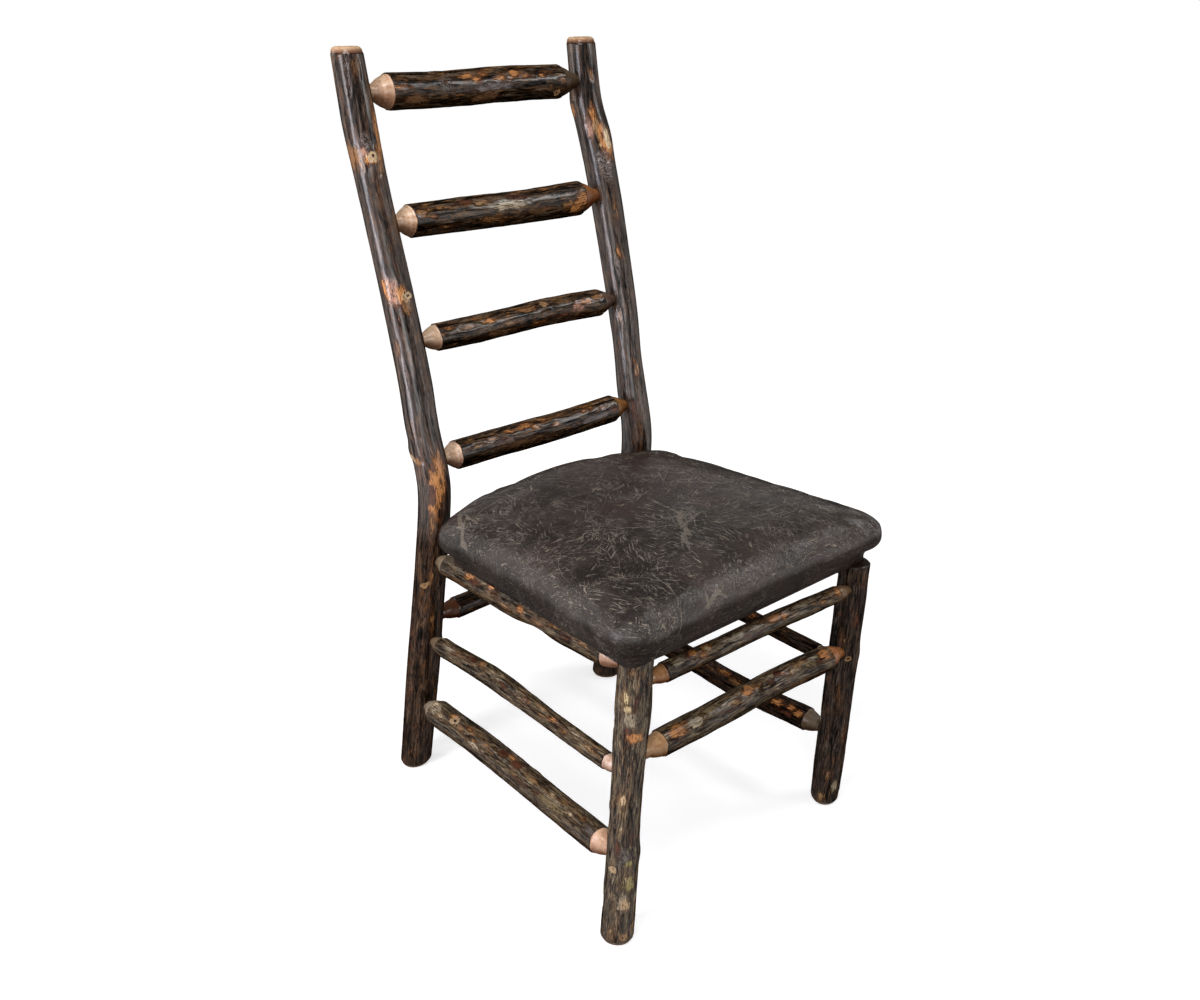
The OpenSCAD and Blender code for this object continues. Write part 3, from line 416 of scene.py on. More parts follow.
def draw_marks(marks, along, angle, radius, wander):
    """Fields of the marks at each point: bare wood, paint, knot, wrinkles and how far the surface rises."""
    n = len(along)
    bare, knot, best = np.full(n, -3.0), np.full(n, 3.0), np.full(n, -9.0)
    wrinkle, rise = np.zeros(n), np.zeros(n)
    paint = np.tile(linear(PAINT["tan"]), (n, 1))
    for kind, place, at, half_length, half_width in marks:
        dx = np.radians(turn_apart(angle, at)) * radius + wander * 0.12 * half_width
        d = np.sqrt((dx / half_width) ** 2 + ((along - place) / half_length) ** 2)
        if kind == "knot_wrinkle":
            wrinkle = np.maximum(wrinkle, np.clip(1.5 - d, 0, 1))
        elif kind.startswith("knot"):
            knot = np.where(d < knot, d, knot)
            rise += 1.5 * np.exp(-(d / 1.25) ** 2) - 2.2 * np.exp(-(d / 0.34) ** 2)
            over = d < 1.35
            paint[over] = linear(PAINT[KNOT_COLOUR[kind]])
            best[over] = 99
        else:
            inside = (1 - d) * min(half_length, half_width, 7)
            take = (inside > best) | (inside > 0.6) & (best < 50)
            paint[take] = linear(PAINT[kind])
            best = np.where(take, inside, best)
            bare = np.maximum(bare, inside)
    return bare, paint, knot, wrinkle, rise


def bark_relief(p, seed, rough):
    """Height of the bark over the plain log in millimetres. p is (across, across, along)."""
    q = p * np.array([1 / 4.6, 1 / 4.6, 1 / 42])
    q[:, 0] += 0.8 * fractal(p / np.array([14, 14, 40]), seed + 3, 2)
    fibre = 1 - np.abs(noise(q, seed)) * 1.7
    fine = 1 - np.abs(noise(q * np.array([2.1, 2.1, 1.7]), seed + 9)) * 1.6
    plate = fractal(p / np.array([11, 11, 34]), seed + 17, 2)
    return rough * (0.42 * fibre + 0.16 * fine + 0.34 * plate)


def new_piece(name, data):
    piece = bpy.data.objects.new(name, data)
    bpy.context.scene.collection.objects.link(piece)
    return piece


def dress(piece, material, slot, *nodes):
    """Gives a piece its material, hangs it on the root body and hides the part's nodes that it stands for."""
    piece.data.materials.clear()
    piece.data.materials.append(material)
    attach(piece, "root")
    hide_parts(*nodes)


def log_mesh(name, rings):
    """A closed mesh through rings of points, with its fields as attributes. rings holds arrays of
    shape (rings, sides): xyz in millimetres, then grain, bare, knot, cut, wrinkle, paint, and a tint
    that on the rungs is painted light and shade."""
    count, sides = rings["xyz"].shape[:2]

    def per_point(field):
        """A field as a list of points, with the first and last rings' means at its end."""
        ends = np.stack([field[i].reshape(sides, -1).mean(0) for i in (0, -1)])
        return np.concatenate([field.reshape(count * sides, -1), ends])

    points = per_point(rings["xyz"]) * MM
    ring = np.arange(count - 1)[:, None] * sides
    j = np.arange(sides)[None]
    k = (j + 1) % sides
    quads = np.stack([ring + j, ring + k, ring + sides + k, ring + sides + j], -1).reshape(-1, 4)
    low, high, last = count * sides, count * sides + 1, (count - 1) * sides
    j, k = j[0], k[0]
    fans = np.concatenate([np.stack([np.full(sides, low), k, j], -1),
                           np.stack([np.full(sides, high), last + j, last + k], -1)])
    mesh = bpy.data.meshes.new(name)
    mesh.vertices.add(len(points))
    mesh.vertices.foreach_set("co", points.ravel())
    loops = np.concatenate([quads.ravel(), fans.ravel()])
    starts = np.concatenate([np.arange(len(quads)) * 4, len(quads) * 4 + np.arange(len(fans)) * 3])
    mesh.loops.add(len(loops))
    mesh.loops.foreach_set("vertex_index", loops)
    mesh.polygons.add(len(starts))
    mesh.polygons.foreach_set("loop_start", starts)
    mesh.update(calc_edges=True)
    mesh.validate()
    for keys, kind, value in ((("bare", "knot", "cut", "wrinkle"), "FLOAT", "value"),
                              (("grain",), "FLOAT_VECTOR", "vector"), (("paint", "tint"), "FLOAT_COLOR", "color")):
        for key in keys:
            values = per_point(rings[key])
            if value == "color":
                values = np.concatenate([values, np.ones((len(values), 1))], 1)
            mesh.attributes.new(key, kind, "POINT").data.foreach_set(value, values.ravel())
    mesh.shade_smooth()
    return new_piece(name, mesh)


RING_STEP = 2.1


def around(along, sides):
    """Place along the log and angle round it for each point of its rings."""
    return (np.repeat(along[:, None], sides, 1),
            np.repeat((np.arange(sides) * 360 / sides)[None], len(along), 0))


def fields(along, angle, radius, marks, seed, rough, smooth):
    """Radius with relief, and the shading fields, for arrays along and angle of one shape.
    smooth is 1 where the log is shaved or sawn and 0 where it has its bark."""
    shape = angle.shape
    a = np.radians(angle)
    steady = np.median(radius)
    at = np.stack([steady * np.cos(a), steady * np.sin(a), along], -1).reshape(-1, 3)
    wander = fractal(at / 7, seed + 40, 2)
    bare, paint, knot, wrinkle, rise = draw_marks(marks, along.ravel(), angle.ravel(), radius.ravel(), wander)
    bare = bare + 2.3 * fractal(at / np.array([4.5, 4.5, 11]), seed + 60, 3)
    open_wood = np.clip((bare + 0.6) / 1.2, 0, 1)
    folds = np.sin(at[:, 2] / 1.3 + 3.0 * noise(at / 5, seed + 70)) * 0.35
    relief = bark_relief(at, seed, rough) * (1 - 0.75 * open_wood) - 0.55 * open_wood + rise + wrinkle * folds
    paint = paint * (1 + 0.16 * fractal(at / np.array([6, 6, 16]), seed + 80, 2))[:, None]
    shaded = {"bare": bare.reshape(shape), "knot": knot.reshape(shape), "wrinkle": wrinkle.reshape(shape),
              "paint": np.clip(paint, 0, 1).reshape(*shape, 3)}
    return radius + relief.reshape(shape) * (1 - smooth), shaded


# the bevel of a sawn foot: height and how far it is set in, and how smooth the log is there
FOOT = [(0, 4.2, 1), (0.6, 3.6, 1), (2, 2.7, 1), (4.5, 1.3, 0.7), (7, 0.15, 0.3)]
# the tops: depth under the highest point and how far it is set in
POST_TOP = [(9, 0), (8.4, 0.5), (6.4, 0.8), (4.4, 1.2), (2.8, 2.0), (1.5, 3.2), (0.7, 4.8), (0.2, 7), (0.05, 10),
            (0, 14)]
LEG_TOP = [(2, 0), (1, 0.5), (0, 1.5), (0, 6)]
# the sawn wood's height at the foot, and where the posts turn brown
FOOT_CUT, BROWN_H, BROWN_FADE = 6.5, 500, 80


def upright(name, centre, radius, top_round, side, top, slot, material, seed, rough, sides=80):
    """A post or a leg: rings level with the floor, a bevelled foot and a finished top."""
    low_z, low_inset, low_smooth = np.array(FOOT).T
    depth, top_inset = np.array(top_round, float).T
    body = np.arange(9, top - depth[0] - 1, RING_STEP)
    plain = np.zeros(len(body))
    inset = np.concatenate([low_inset, plain, top_inset])[:, None]
    smooth = np.concatenate([low_smooth, plain, top_inset > 0.3])[:, None]
    z, angle = around(np.concatenate([low_z, body, top - depth]), sides)
    r, f = fields(z, angle, radius(side, z, angle), MARKS[name], seed, rough, smooth)
    r = r - inset
    x, y = centre(side, z)
    a = np.radians(angle)
    f["xyz"] = np.stack([x + r * np.cos(a), y + r * np.sin(a), z], -1)
    f["grain"] = np.stack([r * np.cos(a), r * np.sin(a), z], -1)
    # the posts are browner below the seat
    is_post = top > BEND_H
    low_part = np.clip((BROWN_H - z) / BROWN_FADE, 0, 1)[..., None] * is_post
    f["tint"] = 1 - low_part * np.array([0.14, 0.24, 0.38])
    # how far into the sawn foot or the finished top, in millimetres, and negative on the bark
    wave = 0.8 * noise(np.stack([8 * np.cos(a[0]), 8 * np.sin(a[0]), np.zeros(sides)], -1), seed)
    f["cut"] = np.maximum(FOOT_CUT - z - wave, z - (top - depth[0] + 0.5) + wave)
    rim = np.clip(inset / 7, 0, 1)[..., None]
    if is_post:
        end = mix(linear((124, 84, 60)), linear((206, 176, 142)), np.clip(rim * 5 - 0.5, 0, 1))
        end = end * (1 - 0.5 * hump(rim, 0.09, 0.03))
    else:
        # painted shade: the sawn tops of the legs, under the seat, are dark
        end = linear((44, 34, 27))
    end = np.where((z > top / 2)[..., None], end, linear((104, 84, 60)))
    f["paint"] = np.where((f["cut"] > -1)[..., None], end, f["paint"])
    dress(log_mesh(name + "_log", f), material, slot, name)


# the logs that the photo shows in the shade
# these get the darker bark and a darker tint: painted shade
IN_SHADE = ("side_stretcher_upper_right", "side_stretcher_lower_right", "seat_rail_right")
PLAIN_CONE = (196, 168, 138)
# a cone starts this far from the post or leg, and its tenon's stub reaches this far in
CLEAR, STUB = 2.5, 9.0
CONE_SHARES = np.array([0, 0.08, 0.2, 0.35, 0.5, 0.65, 0.8, 0.92, 1])


def unit(v):
    return v / np.linalg.norm(v)


def rung(name, slot, material, seed, rough, sides=64, flat_at=None):
    """A rung, rail or stretcher: the bark log, its shaved cones and stubs of its tenons."""
    (first, second), dia, tenon, cones, bow, knots, turn = RUNGS[name]
    p0, p1 = np.array(first[0]), np.array(second[0])
    span = np.linalg.norm(p1 - p0)
    way = (p1 - p0) / span
    across = unit(np.cross([0, 0, 1], way))
    up = np.cross(way, across)
    start = first[1] + first[2] * tenon / 2 + CLEAR
    finish = span - second[1] - second[2] * tenon / 2 - CLEAR
    c0, c1 = start + cones[0], finish - cones[1]
    along = np.concatenate([[start - STUB], start + CONE_SHARES * cones[0], [c0 + 0.8, c0 + 1.5],
                            np.arange(c0 + 2.2, c1 - 2.0, RING_STEP), [c1 - 1.5, c1 - 0.8],
                            finish - CONE_SHARES[::-1] * cones[1], [finish + STUB]])
    s, angle = around(along, sides)
    t = s / span
    full = grown(mix(*dia, t) / 2, t, angle, turn) + knot_rise(knots, span, s, angle)
    on_bark = (s > c0 + 0.1) & (s < c1 - 0.1)
    r, f = fields(s, angle, full, MARKS[name], seed, rough, ~on_bark)
    # shaved cones, a little hollowed at the shoulder and full in the middle
    for at, length, sign in ((start, cones[0], 1), (finish, cones[1], -1)):
        u = (s - at) * sign / length
        shoulder = (at + sign * length) / span
        edge = grown(mix(*dia, shoulder) / 2, shoulder, angle, turn)
        inner = np.clip(u, 0, 1)
        cone = mix(tenon / 2 + 0.6, edge - 1.1, inner ** 0.92) + 0.9 * np.sin(np.pi * inner)
        cone = cone + 0.07 * np.sin(s * 2.6) * (u > 0.05)
        r = np.where((u >= -1e-6) & (u <= 1 + 1e-6), cone, r)
        r = np.where(u < -1e-6, tenon / 2, r)
    r = r - 0.45 * (on_bark & ((s < c0 + 1.2) | (s > c1 - 1.2)))
    swing = np.sin(np.pi * t) ** 2
    drift = across * bow[0] * swing[..., None] \
        + up * (bow[1] * swing + bow[2] * np.sin(2 * np.pi * t) * swing)[..., None]
    a = np.radians(angle)
    x, y = r * np.cos(a), r * np.sin(a)
    f["xyz"] = p0 + way * s[..., None] + drift + across * x[..., None] + up * y[..., None]
    f["grain"] = np.stack([x, y, s], -1)
    wave = 0.9 * noise(np.stack([2.2 * np.cos(a[0]), 2.2 * np.sin(a[0]), np.zeros(sides)], -1), seed + 1)
    f["cut"] = np.maximum(c0 + 0.2 + wave - s, s - c1 + 0.2 - wave)
    if flat_at is not None:
        f["cut"] = np.where(f["xyz"][..., 2] > flat_at, 3.0, f["cut"])
        f["xyz"][..., 2] = np.minimum(f["xyz"][..., 2], flat_at)
    ends = [linear(c) for c in CONES.get(name, (PLAIN_CONE, PLAIN_CONE))]
    shaved = np.where((s < span / 2)[..., None], *ends)
    # painted shade and light: the lower side of a cone is darker and pinker and its top a little lighter. A pale
    # ring runs round its shoulder
    shade = np.clip(0.5 - 0.5 * np.sin(a), 0, 1)[..., None]
    shaved = shaved * (1.12 - np.clip(1.4 * shade, 0, 1) * np.array([0.84, 0.91, 0.94]))
    rings = 1 + 0.16 * hump(f["cut"], 1.6, 0.7) - 0.34 * hump(f["cut"], 2.9, 0.45)
    shaved = np.clip(shaved * rings[..., None], 0, 1)
    f["paint"] = np.where((f["cut"] > -1)[..., None], shaved, f["paint"])
    # painted light and shade on a rung's bark: lighter on top, darker underneath, and darker still on the logs in
    # the shade
    f["tint"] = np.repeat((1.30 - 1.15 * shade) * (0.7 if name in IN_SHADE else 1), 3, -1)
    dress(log_mesh(name + "_log", f), material, slot, name)


# Materials

class Out:
    """A node's output, which adds, subtracts and multiplies like a number, a vector or a colour."""

    def __init__(self, kit, socket):
        self.kit, self.socket = kit, socket

    def __add__(self, other):
        return self.kit.calc("ADD", self, other)

    def __sub__(self, other):
        return self.kit.calc("SUBTRACT", self, other)

    def __rsub__(self, other):
        return self.kit.calc("SUBTRACT", other, self)

    def __mul__(self, other):
        return self.kit.calc("MULTIPLY", self, other)

    __radd__, __rmul__ = __add__, __mul__


class Nodes:
    """Short calls for building a node tree."""

    def __init__(self, tree):
        self.tree = tree
        tree.nodes.clear()

    def make(self, kind, ins=(), out=0, **props):
        n = self.tree.nodes.new("ShaderNode" + kind)
        for key, value in props.items():
            setattr(n, key, value)
        for key, value in dict(ins).items():
            self.put(n.inputs[key], value)
        return Out(self, n.outputs[out]) if n.outputs else None

    def put(self, socket, value):
        if isinstance(value, Out):
            self.tree.links.new(value.socket, socket)
        elif not hasattr(socket.default_value, "__len__"):
            socket.default_value = value
        elif not hasattr(value, "__len__"):
            socket.default_value = [value] * len(socket.default_value)
        else:
            socket.default_value = (*value, 1)[:len(socket.default_value)]

    def calc(self, op, *values):
        flat = all(isinstance(v, Out) and v.socket.type == "VALUE" or isinstance(v, (int, float)) for v in values)
        return self.make("Math" if flat else "VectorMath", dict(enumerate(values)), operation=op)

    def attribute(self, name, out="Fac"):
        return self.make("Attribute", out=out, attribute_name=name)

    def length(self, vector):
        return self.make("VectorMath", {0: vector}, "Value", operation="LENGTH")

    def height_of(self, vector):
        return self.make("SeparateXYZ", {"Vector": vector}, "Z")

    def noise(self, vector, scale, detail=3, rough=0.55, distortion=0.0, out="Fac"):
        return self.make("TexNoise", {"Vector": vector, "Scale": scale, "Detail": detail, "Roughness": rough,
                                      "Distortion": distortion}, out)

    def ramp(self, value, low, high):
        """0 below low, 1 above high, smooth between."""
        return self.make("MapRange", {"Value": value, "From Min": low, "From Max": high},
                         interpolation_type="SMOOTHSTEP")

    def blend(self, share, a, b):
        """Colour a, and b as far as its share says. A tuple is an 8-bit colour."""
        a, b = (linear(c) if isinstance(c, tuple) else c for c in (a, b))
        return self.make("Mix", {0: share, 6: a, 7: b}, 2, data_type="RGBA")

    def bump(self, height, strength, distance):
        return self.make("Bump", {"Height": height, "Strength": strength, "Distance": distance})

    def edge_on(self):
        return self.make("LayerWeight", {"Blend": 0.5}, "Facing")

    def surface(self, ins):
        self.make("OutputMaterial", {"Surface": self.make("BsdfPrincipled", ins)})


def new_material(name):
    m = bpy.data.materials.new(name)
    m.use_nodes = True
    return m, Nodes(m.node_tree)


def bark_material(name, tones, scale, fleck, dash_share, satin, gloss, relief):
    """Bark with its streaks, ragged bare patches, knots and shaved or sawn wood. tones are the
    8-bit colours of groove, body, ridge, warm blotch and thin dash; scale is the streaks' number per
    millimetre across and along the log; fleck is the share of light ridges, and relief how rough
    the bark feels."""
    groove, body, ridge, warm, dash_tone = tones
    m, k = new_material(name)
    grain = k.attribute("grain", "Vector")
    paint, tint = k.attribute("paint", "Color"), k.attribute("tint", "Color")

    def drawn(across, along, detail=3, rough=0.6, distortion=0.0, move=(0, 0, 0)):
        """Noise drawn out along the log."""
        return k.noise(grain * (across, across, along) + move, 1.0, detail, rough, distortion)

    fibre = drawn(*scale, 4, 0.62, 0.9)
    fine = drawn(0.6, 0.07, 3, 0.6, 0.4)
    level = fibre * 0.75 + fine * 0.25
    crack = drawn(*scale, 3, 0.6, 1.6, (3.3, 1.9, 6.1))
    cracks = k.ramp(k.calc("ABSOLUTE", crack - 0.5), 0.008, 0.050)
    broad = drawn(0.055, 0.014, 3, 0.55)
    patchy = drawn(0.11, 0.04, 4, 0.6, 0.5)
    murk = drawn(0.08, 0.025, 4, 0.6, 0.6, (5.1, 9.2, 1.7))

    bark = k.blend(k.ramp(level, 0.43, 0.52), groove, body)
    bark = k.blend(k.ramp(level, 0.52, 0.60) * k.ramp(broad, 0.32, 0.60) * fleck, bark, ridge)
    bark = k.blend(k.ramp(patchy, 0.52, 0.62) * 0.7, bark, k.blend(k.ramp(level, 0.44, 0.56), groove, warm))
    bark = k.blend(k.ramp(murk, 0.50, 0.62) * 0.7, bark, bark * (0.34, 0.31, 0.29))
    bark = k.blend(cracks, bark * (0.16, 0.13, 0.12), bark)
    dash = drawn(0.4, 0.05, 3, 0.6, 0.5, (7.3, 2.1, 4.4))
    dashes = k.ramp(dash, 0.57, 0.63) * k.ramp(drawn(0.06, 0.02), 0.48, 0.60)
    # the tint darkens the rungs' undersides and the logs in the shade and lightens the rungs' tops, as painted
    # shade and light; on the posts it only makes them browner below the seat
    bark = k.blend(dashes * dash_share, bark, dash_tone) * tint
    # wrinkled scars: grey folds
    wrinkle = k.attribute("wrinkle")
    folds = drawn(0.35, 0.6, 3, 0.6, 1.0)
    bark = k.blend(wrinkle * 0.85, bark, k.blend(k.ramp(folds, 0.44, 0.58), (22, 17, 15), (120, 110, 105)))

    # bare wood under the bark, with dark grain lines and a torn dark rim
    streaks = drawn(0.75, 0.06, 4, 0.6, 0.5)
    wood = k.blend(k.ramp(streaks, 0.38, 0.52), paint * (0.30, 0.23, 0.18), paint)
    wood = k.blend(k.ramp(streaks, 0.58, 0.70) * 0.5, wood, paint * (1.5, 1.45, 1.35))
    wood = k.blend(k.ramp(drawn(0.45, 0.22, 2, 0.5), 0.62, 0.67), wood, (40, 24, 15))
    bared = k.attribute("bare") - 1.0 + (drawn(0.7, 0.09, 4, 0.62, 0.4) - 0.5) * 15.0
    open_wood = k.ramp(bared, 0.1, 0.8)
    rim = k.ramp(bared, -2.6, -0.2) * (1 - k.ramp(bared, 0.0, 0.35))
    bark = k.blend(rim * 0.6, bark, paint * (0.36, 0.26, 0.19))
    colour = k.blend(open_wood, bark, wood)

    # knots: a dark heart, ringed wood, a dark split round it
    knot = k.attribute("knot") + (drawn(0.16, 0.16) - 0.5) * 1.6
    ring = k.calc("SINE", knot * 17.0)
    heart = k.blend(k.ramp(ring, -0.2, 0.9) * 0.55, paint, paint * (0.50, 0.36, 0.26))
    heart = k.blend(k.ramp(knot, 0.22, 0.40), (26, 14, 9), heart)
    heart = k.blend(k.ramp(knot, 0.86, 0.98) * k.ramp(patchy, 0.42, 0.52), heart, (34, 20, 13))
    colour = k.blend(1 - k.ramp(knot, 0.98, 1.2), colour, heart)

    # shaved cones, sawn feet and rounded tops: pale wood with turned rings
    from_axis = k.make("CombineXYZ", {"X": k.length(grain * (1, 1, 0))})
    rings = k.noise(from_axis, 1.3, 3, 0.6)
    sawn = k.blend(k.ramp(rings, 0.38, 0.62), paint * (0.80, 0.74, 0.68), paint)
    sawn = k.blend(k.ramp(drawn(0.22, 0.1, 3, 0.5), 0.46, 0.64) * 0.7, sawn, paint * (0.66, 0.50, 0.40))
    cut = k.attribute("cut") + (drawn(0.7, 0.7, 2, 0.55) - 0.5) * 1.2
    is_cut = k.ramp(cut, -0.1, 0.25)
    is_bark = 1 - is_cut
    colour = k.blend(k.ramp(cut, -1.6, -0.5) * is_bark * 0.7, colour, (30, 20, 14))

    # varnish: thick on the shaved wood, on the bark as far as it shines, and none of it under the
    # rungs and on the posts below the seat
    varnish = k.ramp(level, 0.32, 0.50) * gloss * is_bark + is_cut * 0.8
    lit_side = k.ramp(k.height_of(tint), 0.5, 0.95)

    height = fibre * 0.85 + fine * 0.15 + cracks * 0.18
    height = height * (1 - open_wood * 0.7) - open_wood * 0.35 + wrinkle * folds * 1.4
    height = height * is_bark + rings * is_cut * 0.06
    k.surface({"Base Color": k.blend(is_cut, colour, sawn),
               "Roughness": ((0.55 - level) * 0.6 + satin) * is_bark + is_cut * 0.26,
               "Specular IOR Level": 0.0,
               "Coat Weight": varnish * lit_side * (1 - k.ramp(k.edge_on(), 0.35, 0.8)),
               "Coat Roughness": 0.29,
               "Normal": k.bump(height, 0.9, 0.0026 * relief)})
    return m


def leather_material():
    """Distressed leather: mottled, with a dense web of fine pale creases and a few larger scars."""
    m, k = new_material("leather")
    place = k.make("TexCoord", out="Object")
    sway = k.noise(place, 16.0, 3, 0.6, 0.0, "Color") - 0.5
    bent, swayed = place + sway * 0.014, place + sway * 0.010
    mottle = k.noise(place, 13.0, 5, 0.68)
    purple = k.noise(place + (0.3, 0.1, 0.7), 7.0)
    grain = k.noise(place, 420.0, 3, 0.6)
    colour = k.blend(k.ramp(mottle, 0.36, 0.66), (28, 24, 21), (54, 47, 42))
    colour = k.blend(k.ramp(purple, 0.48, 0.66) * 0.55, colour, (60, 45, 42))
    colour = k.blend(k.ramp(grain, 0.45, 0.7) * 0.25, colour, (82, 73, 66))
    facing_up = k.height_of(k.make("TexCoord", out="Normal"))
    # painted shade: the cover's sides are darker than its top
    colour = colour * (k.ramp(facing_up, 0.05, 0.75) * 0.42 + 0.58)

    def turned(vector, angle):
        return k.make("VectorRotate", {"Vector": vector, "Angle": angle}, rotation_type="Z_AXIS")

    def creases(scale, width, offset, turn, stretch, gate_scale, low, high):
        """Thin lines between the cells of a bent and stretched net, in patches."""
        line = k.make("TexVoronoi", {"Vector": turned(bent, turn) * stretch + offset, "Scale": scale}, "Distance",
                      feature="DISTANCE_TO_EDGE")
        return (1 - k.ramp(line, 0.0, width)) * k.ramp(k.noise(place + offset, gate_scale, 3, 0.6), low, high)

    # crackle in patches, fans of short fine scratches, and a few long ones
    web = creases(150.0, 0.09, (0.11, 0.52, 0.3), 0.0, (0.7, 1.2, 1), 20.0, 0.56, 0.68)
    for turn, offset in ((0.7, (0.31, 0.9, 0.5)), (2.1, (0.05, 0.4, 0.8))):
        long_one = creases(13.0, 0.0035, offset, turn, (1, 0.22, 1), 9.0, 0.50, 0.56)
        web = k.calc("MAXIMUM", web * 0.8, long_one)
    hairs = 0.0
    for turn, offset in ((0.1, (0, 0, 0)), (0.6, (0.2, 0.4, 0.1)), (1.15, (0.7, 0.1, 0.3)),
                         (1.7, (0.4, 0.8, 0.6)), (2.3, (0.9, 0.5, 0.2)), (2.8, (0.6, 0.3, 0.9))):
        hair = k.noise((turned(swayed, turn) + offset) * (620, 36, 380), 1.0, 2, 0.5, 0.10)
        gate = k.ramp(k.noise(place + offset, 17.0, 4, 0.65), 0.50, 0.62)
        hairs = k.calc("MAXIMUM", hairs, gate * k.ramp(hair, 0.60, 0.66))
    # the scratches thin out on the sides
    hairs = hairs * (k.ramp(facing_up, 0.15, 0.6) * 0.75 + 0.25)
    scars = k.ramp(k.attribute("scar") + (k.noise(place, 210.0, 4) - 0.5) * 1.3, 0.45, 0.62)
    for marks, share, tone in ((hairs, 0.72, (142, 130, 116)), (web, 0.55, (136, 124, 110)),
                               (scars, 0.55, (112, 102, 90))):
        colour = k.blend(marks * share, colour, tone)
    # the sheen of worn leather on its top and edges; the tucked-under sides stay matt
    worn = k.ramp(facing_up, 0.0, 0.5) * (1 - k.ramp(k.edge_on(), 0.6, 0.8))
    height = web * -0.5 + k.noise(bent, 90.0, 4, 0.62, 1.0) * 1.1 + grain * 0.25 + hairs * 0.35 + scars * 0.5
    relief = k.bump(height, 0.9, 0.0015)
    k.surface({"Base Color": colour, "Roughness": (mottle - 0.5) * 0.3 + 0.33, "Specular IOR Level": 0.0,
               "Coat Weight": worn * 0.72 + 0.08, "Coat Roughness": 0.33, "Normal": relief,
               "Coat Normal": relief})
    return m


def plywood_material():
    m, k = new_material("plywood")
    place = k.make("TexCoord", out="Object")
    grain = k.noise(place * (90, 9, 90), 1.0, 4, 0.6, 0.8)
    plies = k.make("TexWave", {"Vector": place, "Scale": 130.0, "Distortion": 0.4}, "Fac", bands_direction="Z")
    colour = k.blend(k.ramp(grain, 0.35, 0.7), (196, 158, 108), (168, 128, 82))
    k.surface({"Base Color": k.blend(plies * 0.25, colour, (120, 86, 54)), "Roughness": grain * 0.2 + 0.55,
               "Normal": k.bump(grain, 0.3, 0.0004)})
    return m


def cloth_material():
    m, k = new_material("black_cloth")
    place = k.make("TexCoord", out="Object")
    warp, weft = (k.make("TexWave", {"Vector": place, "Scale": 300.0, "Distortion": 0.6}, "Fac",
                         bands_direction=axis) for axis in "XY")
    weave = warp * weft
    dust = k.ramp(k.noise(place, 30.0, 4, 0.6), 0.5, 0.75)
    colour = k.blend(dust * 0.35, k.blend(weave, (18, 18, 20), (44, 43, 46)), (74, 70, 66))
    k.surface({"Base Color": colour, "Roughness": 0.9, "Normal": k.bump(weave, 0.5, 0.0003)})
    return m


def steel_material():
    m, k = new_material("zinc_steel")
    spangle = k.noise(k.make("TexCoord", out="Object"), 900.0, 3, 0.6)
    colour = k.blend(k.ramp(spangle, 0.35, 0.7), (150, 150, 154), (186, 184, 180))
    k.surface({"Base Color": colour, "Metallic": 1.0, "Roughness": spangle * 0.25 + 0.3,
               "Normal": k.bump(spangle, 0.2, 0.0002)})
    return m


# the posts' lilac-grey ridge tone is partly the bark's own light ridges and partly a painted sheen
post_bark = bark_material("post_bark", ((20, 14, 11), (62, 48, 39), (110, 94, 86), (92, 62, 38), (126, 86, 54)),
                          (0.17, 0.016), 0.6, 0.3, 0.36, 0.85, 0.2)
rung_bark = bark_material("rung_bark", ((12, 8, 5), (70, 53, 38), (124, 106, 86), (112, 76, 40), (150, 102, 58)),
                          (0.19, 0.022), 0.7, 0.6, 0.40, 0.75, 0.8)
# a darker copy of the weathered bark, for the right front leg and the logs in the shade: painted shade
shaded_bark = bark_material("shaded_bark", ((12, 9, 7), (58, 46, 38), (104, 88, 76), (88, 60, 42), (122, 86, 58)),
                          (0.21, 0.022), 0.6, 0.3, 0.45, 0.12, 0.6)
weathered = bark_material("weathered_bark",
                          ((36, 27, 20), (92, 77, 58), (158, 141, 112), (110, 82, 54), (146, 104, 64)),
                          (0.25, 0.030), 0.55, 0.35, 0.48, 0.45, 0.9)

VARNISHED = ("back_rung_top", "back_rung_second", "back_rung_third", "back_rung_lowest", "seat_rail_rear",
             "rear_stretcher")
POST, LEG = (post_centre, post_radius, POST_TOP), (leg_centre, leg_radius, LEG_TOP)
upright("rear_post_left", *POST, LEFT, CHAIR_H - 7, "varnished_bark", post_bark, 1, 0.4)
upright("rear_post_right", *POST, RIGHT, CHAIR_H, "varnished_bark", post_bark, 2, 0.4)
upright("front_leg_left", *LEG, LEFT, SEAT_H, "weathered_bark", weathered, 3, 1.1)
# the right front leg gets the darker bark, as painted shade
upright("front_leg_right", *LEG, RIGHT, SEAT_H, "weathered_bark", shaded_bark, 4, 0.8)
for number, node in enumerate(RUNGS):
    shiny = node in VARNISHED
    under_seat = node in ("seat_rail_left", "seat_rail_right")
    rung(node, "varnished_bark" if shiny else "weathered_bark",
         rung_bark if shiny else shaded_bark if node in IN_SHADE else weathered,
         10 + number, 1.05, flat_at=SEAT_H - 0.05 if under_seat else None)


# The seat

BOARD_FRONT_W, BOARD_BACK_W, CORNER, SKEW, BOW = 433.0, 397.0, 14.0, 3.5, 22.0
OVERHANG, POST_CLEAR = 29.0, 0.5
PAD_EDGE, PAD_CROWN, PAD_DIP, PAD_LIFT, PAD_SWELL, DRAW_IN = 49.0, 17.0, 5.0, 13.0, 24.0, 2.5
PAD_HIGH = PAD_LOW + PAD_EDGE
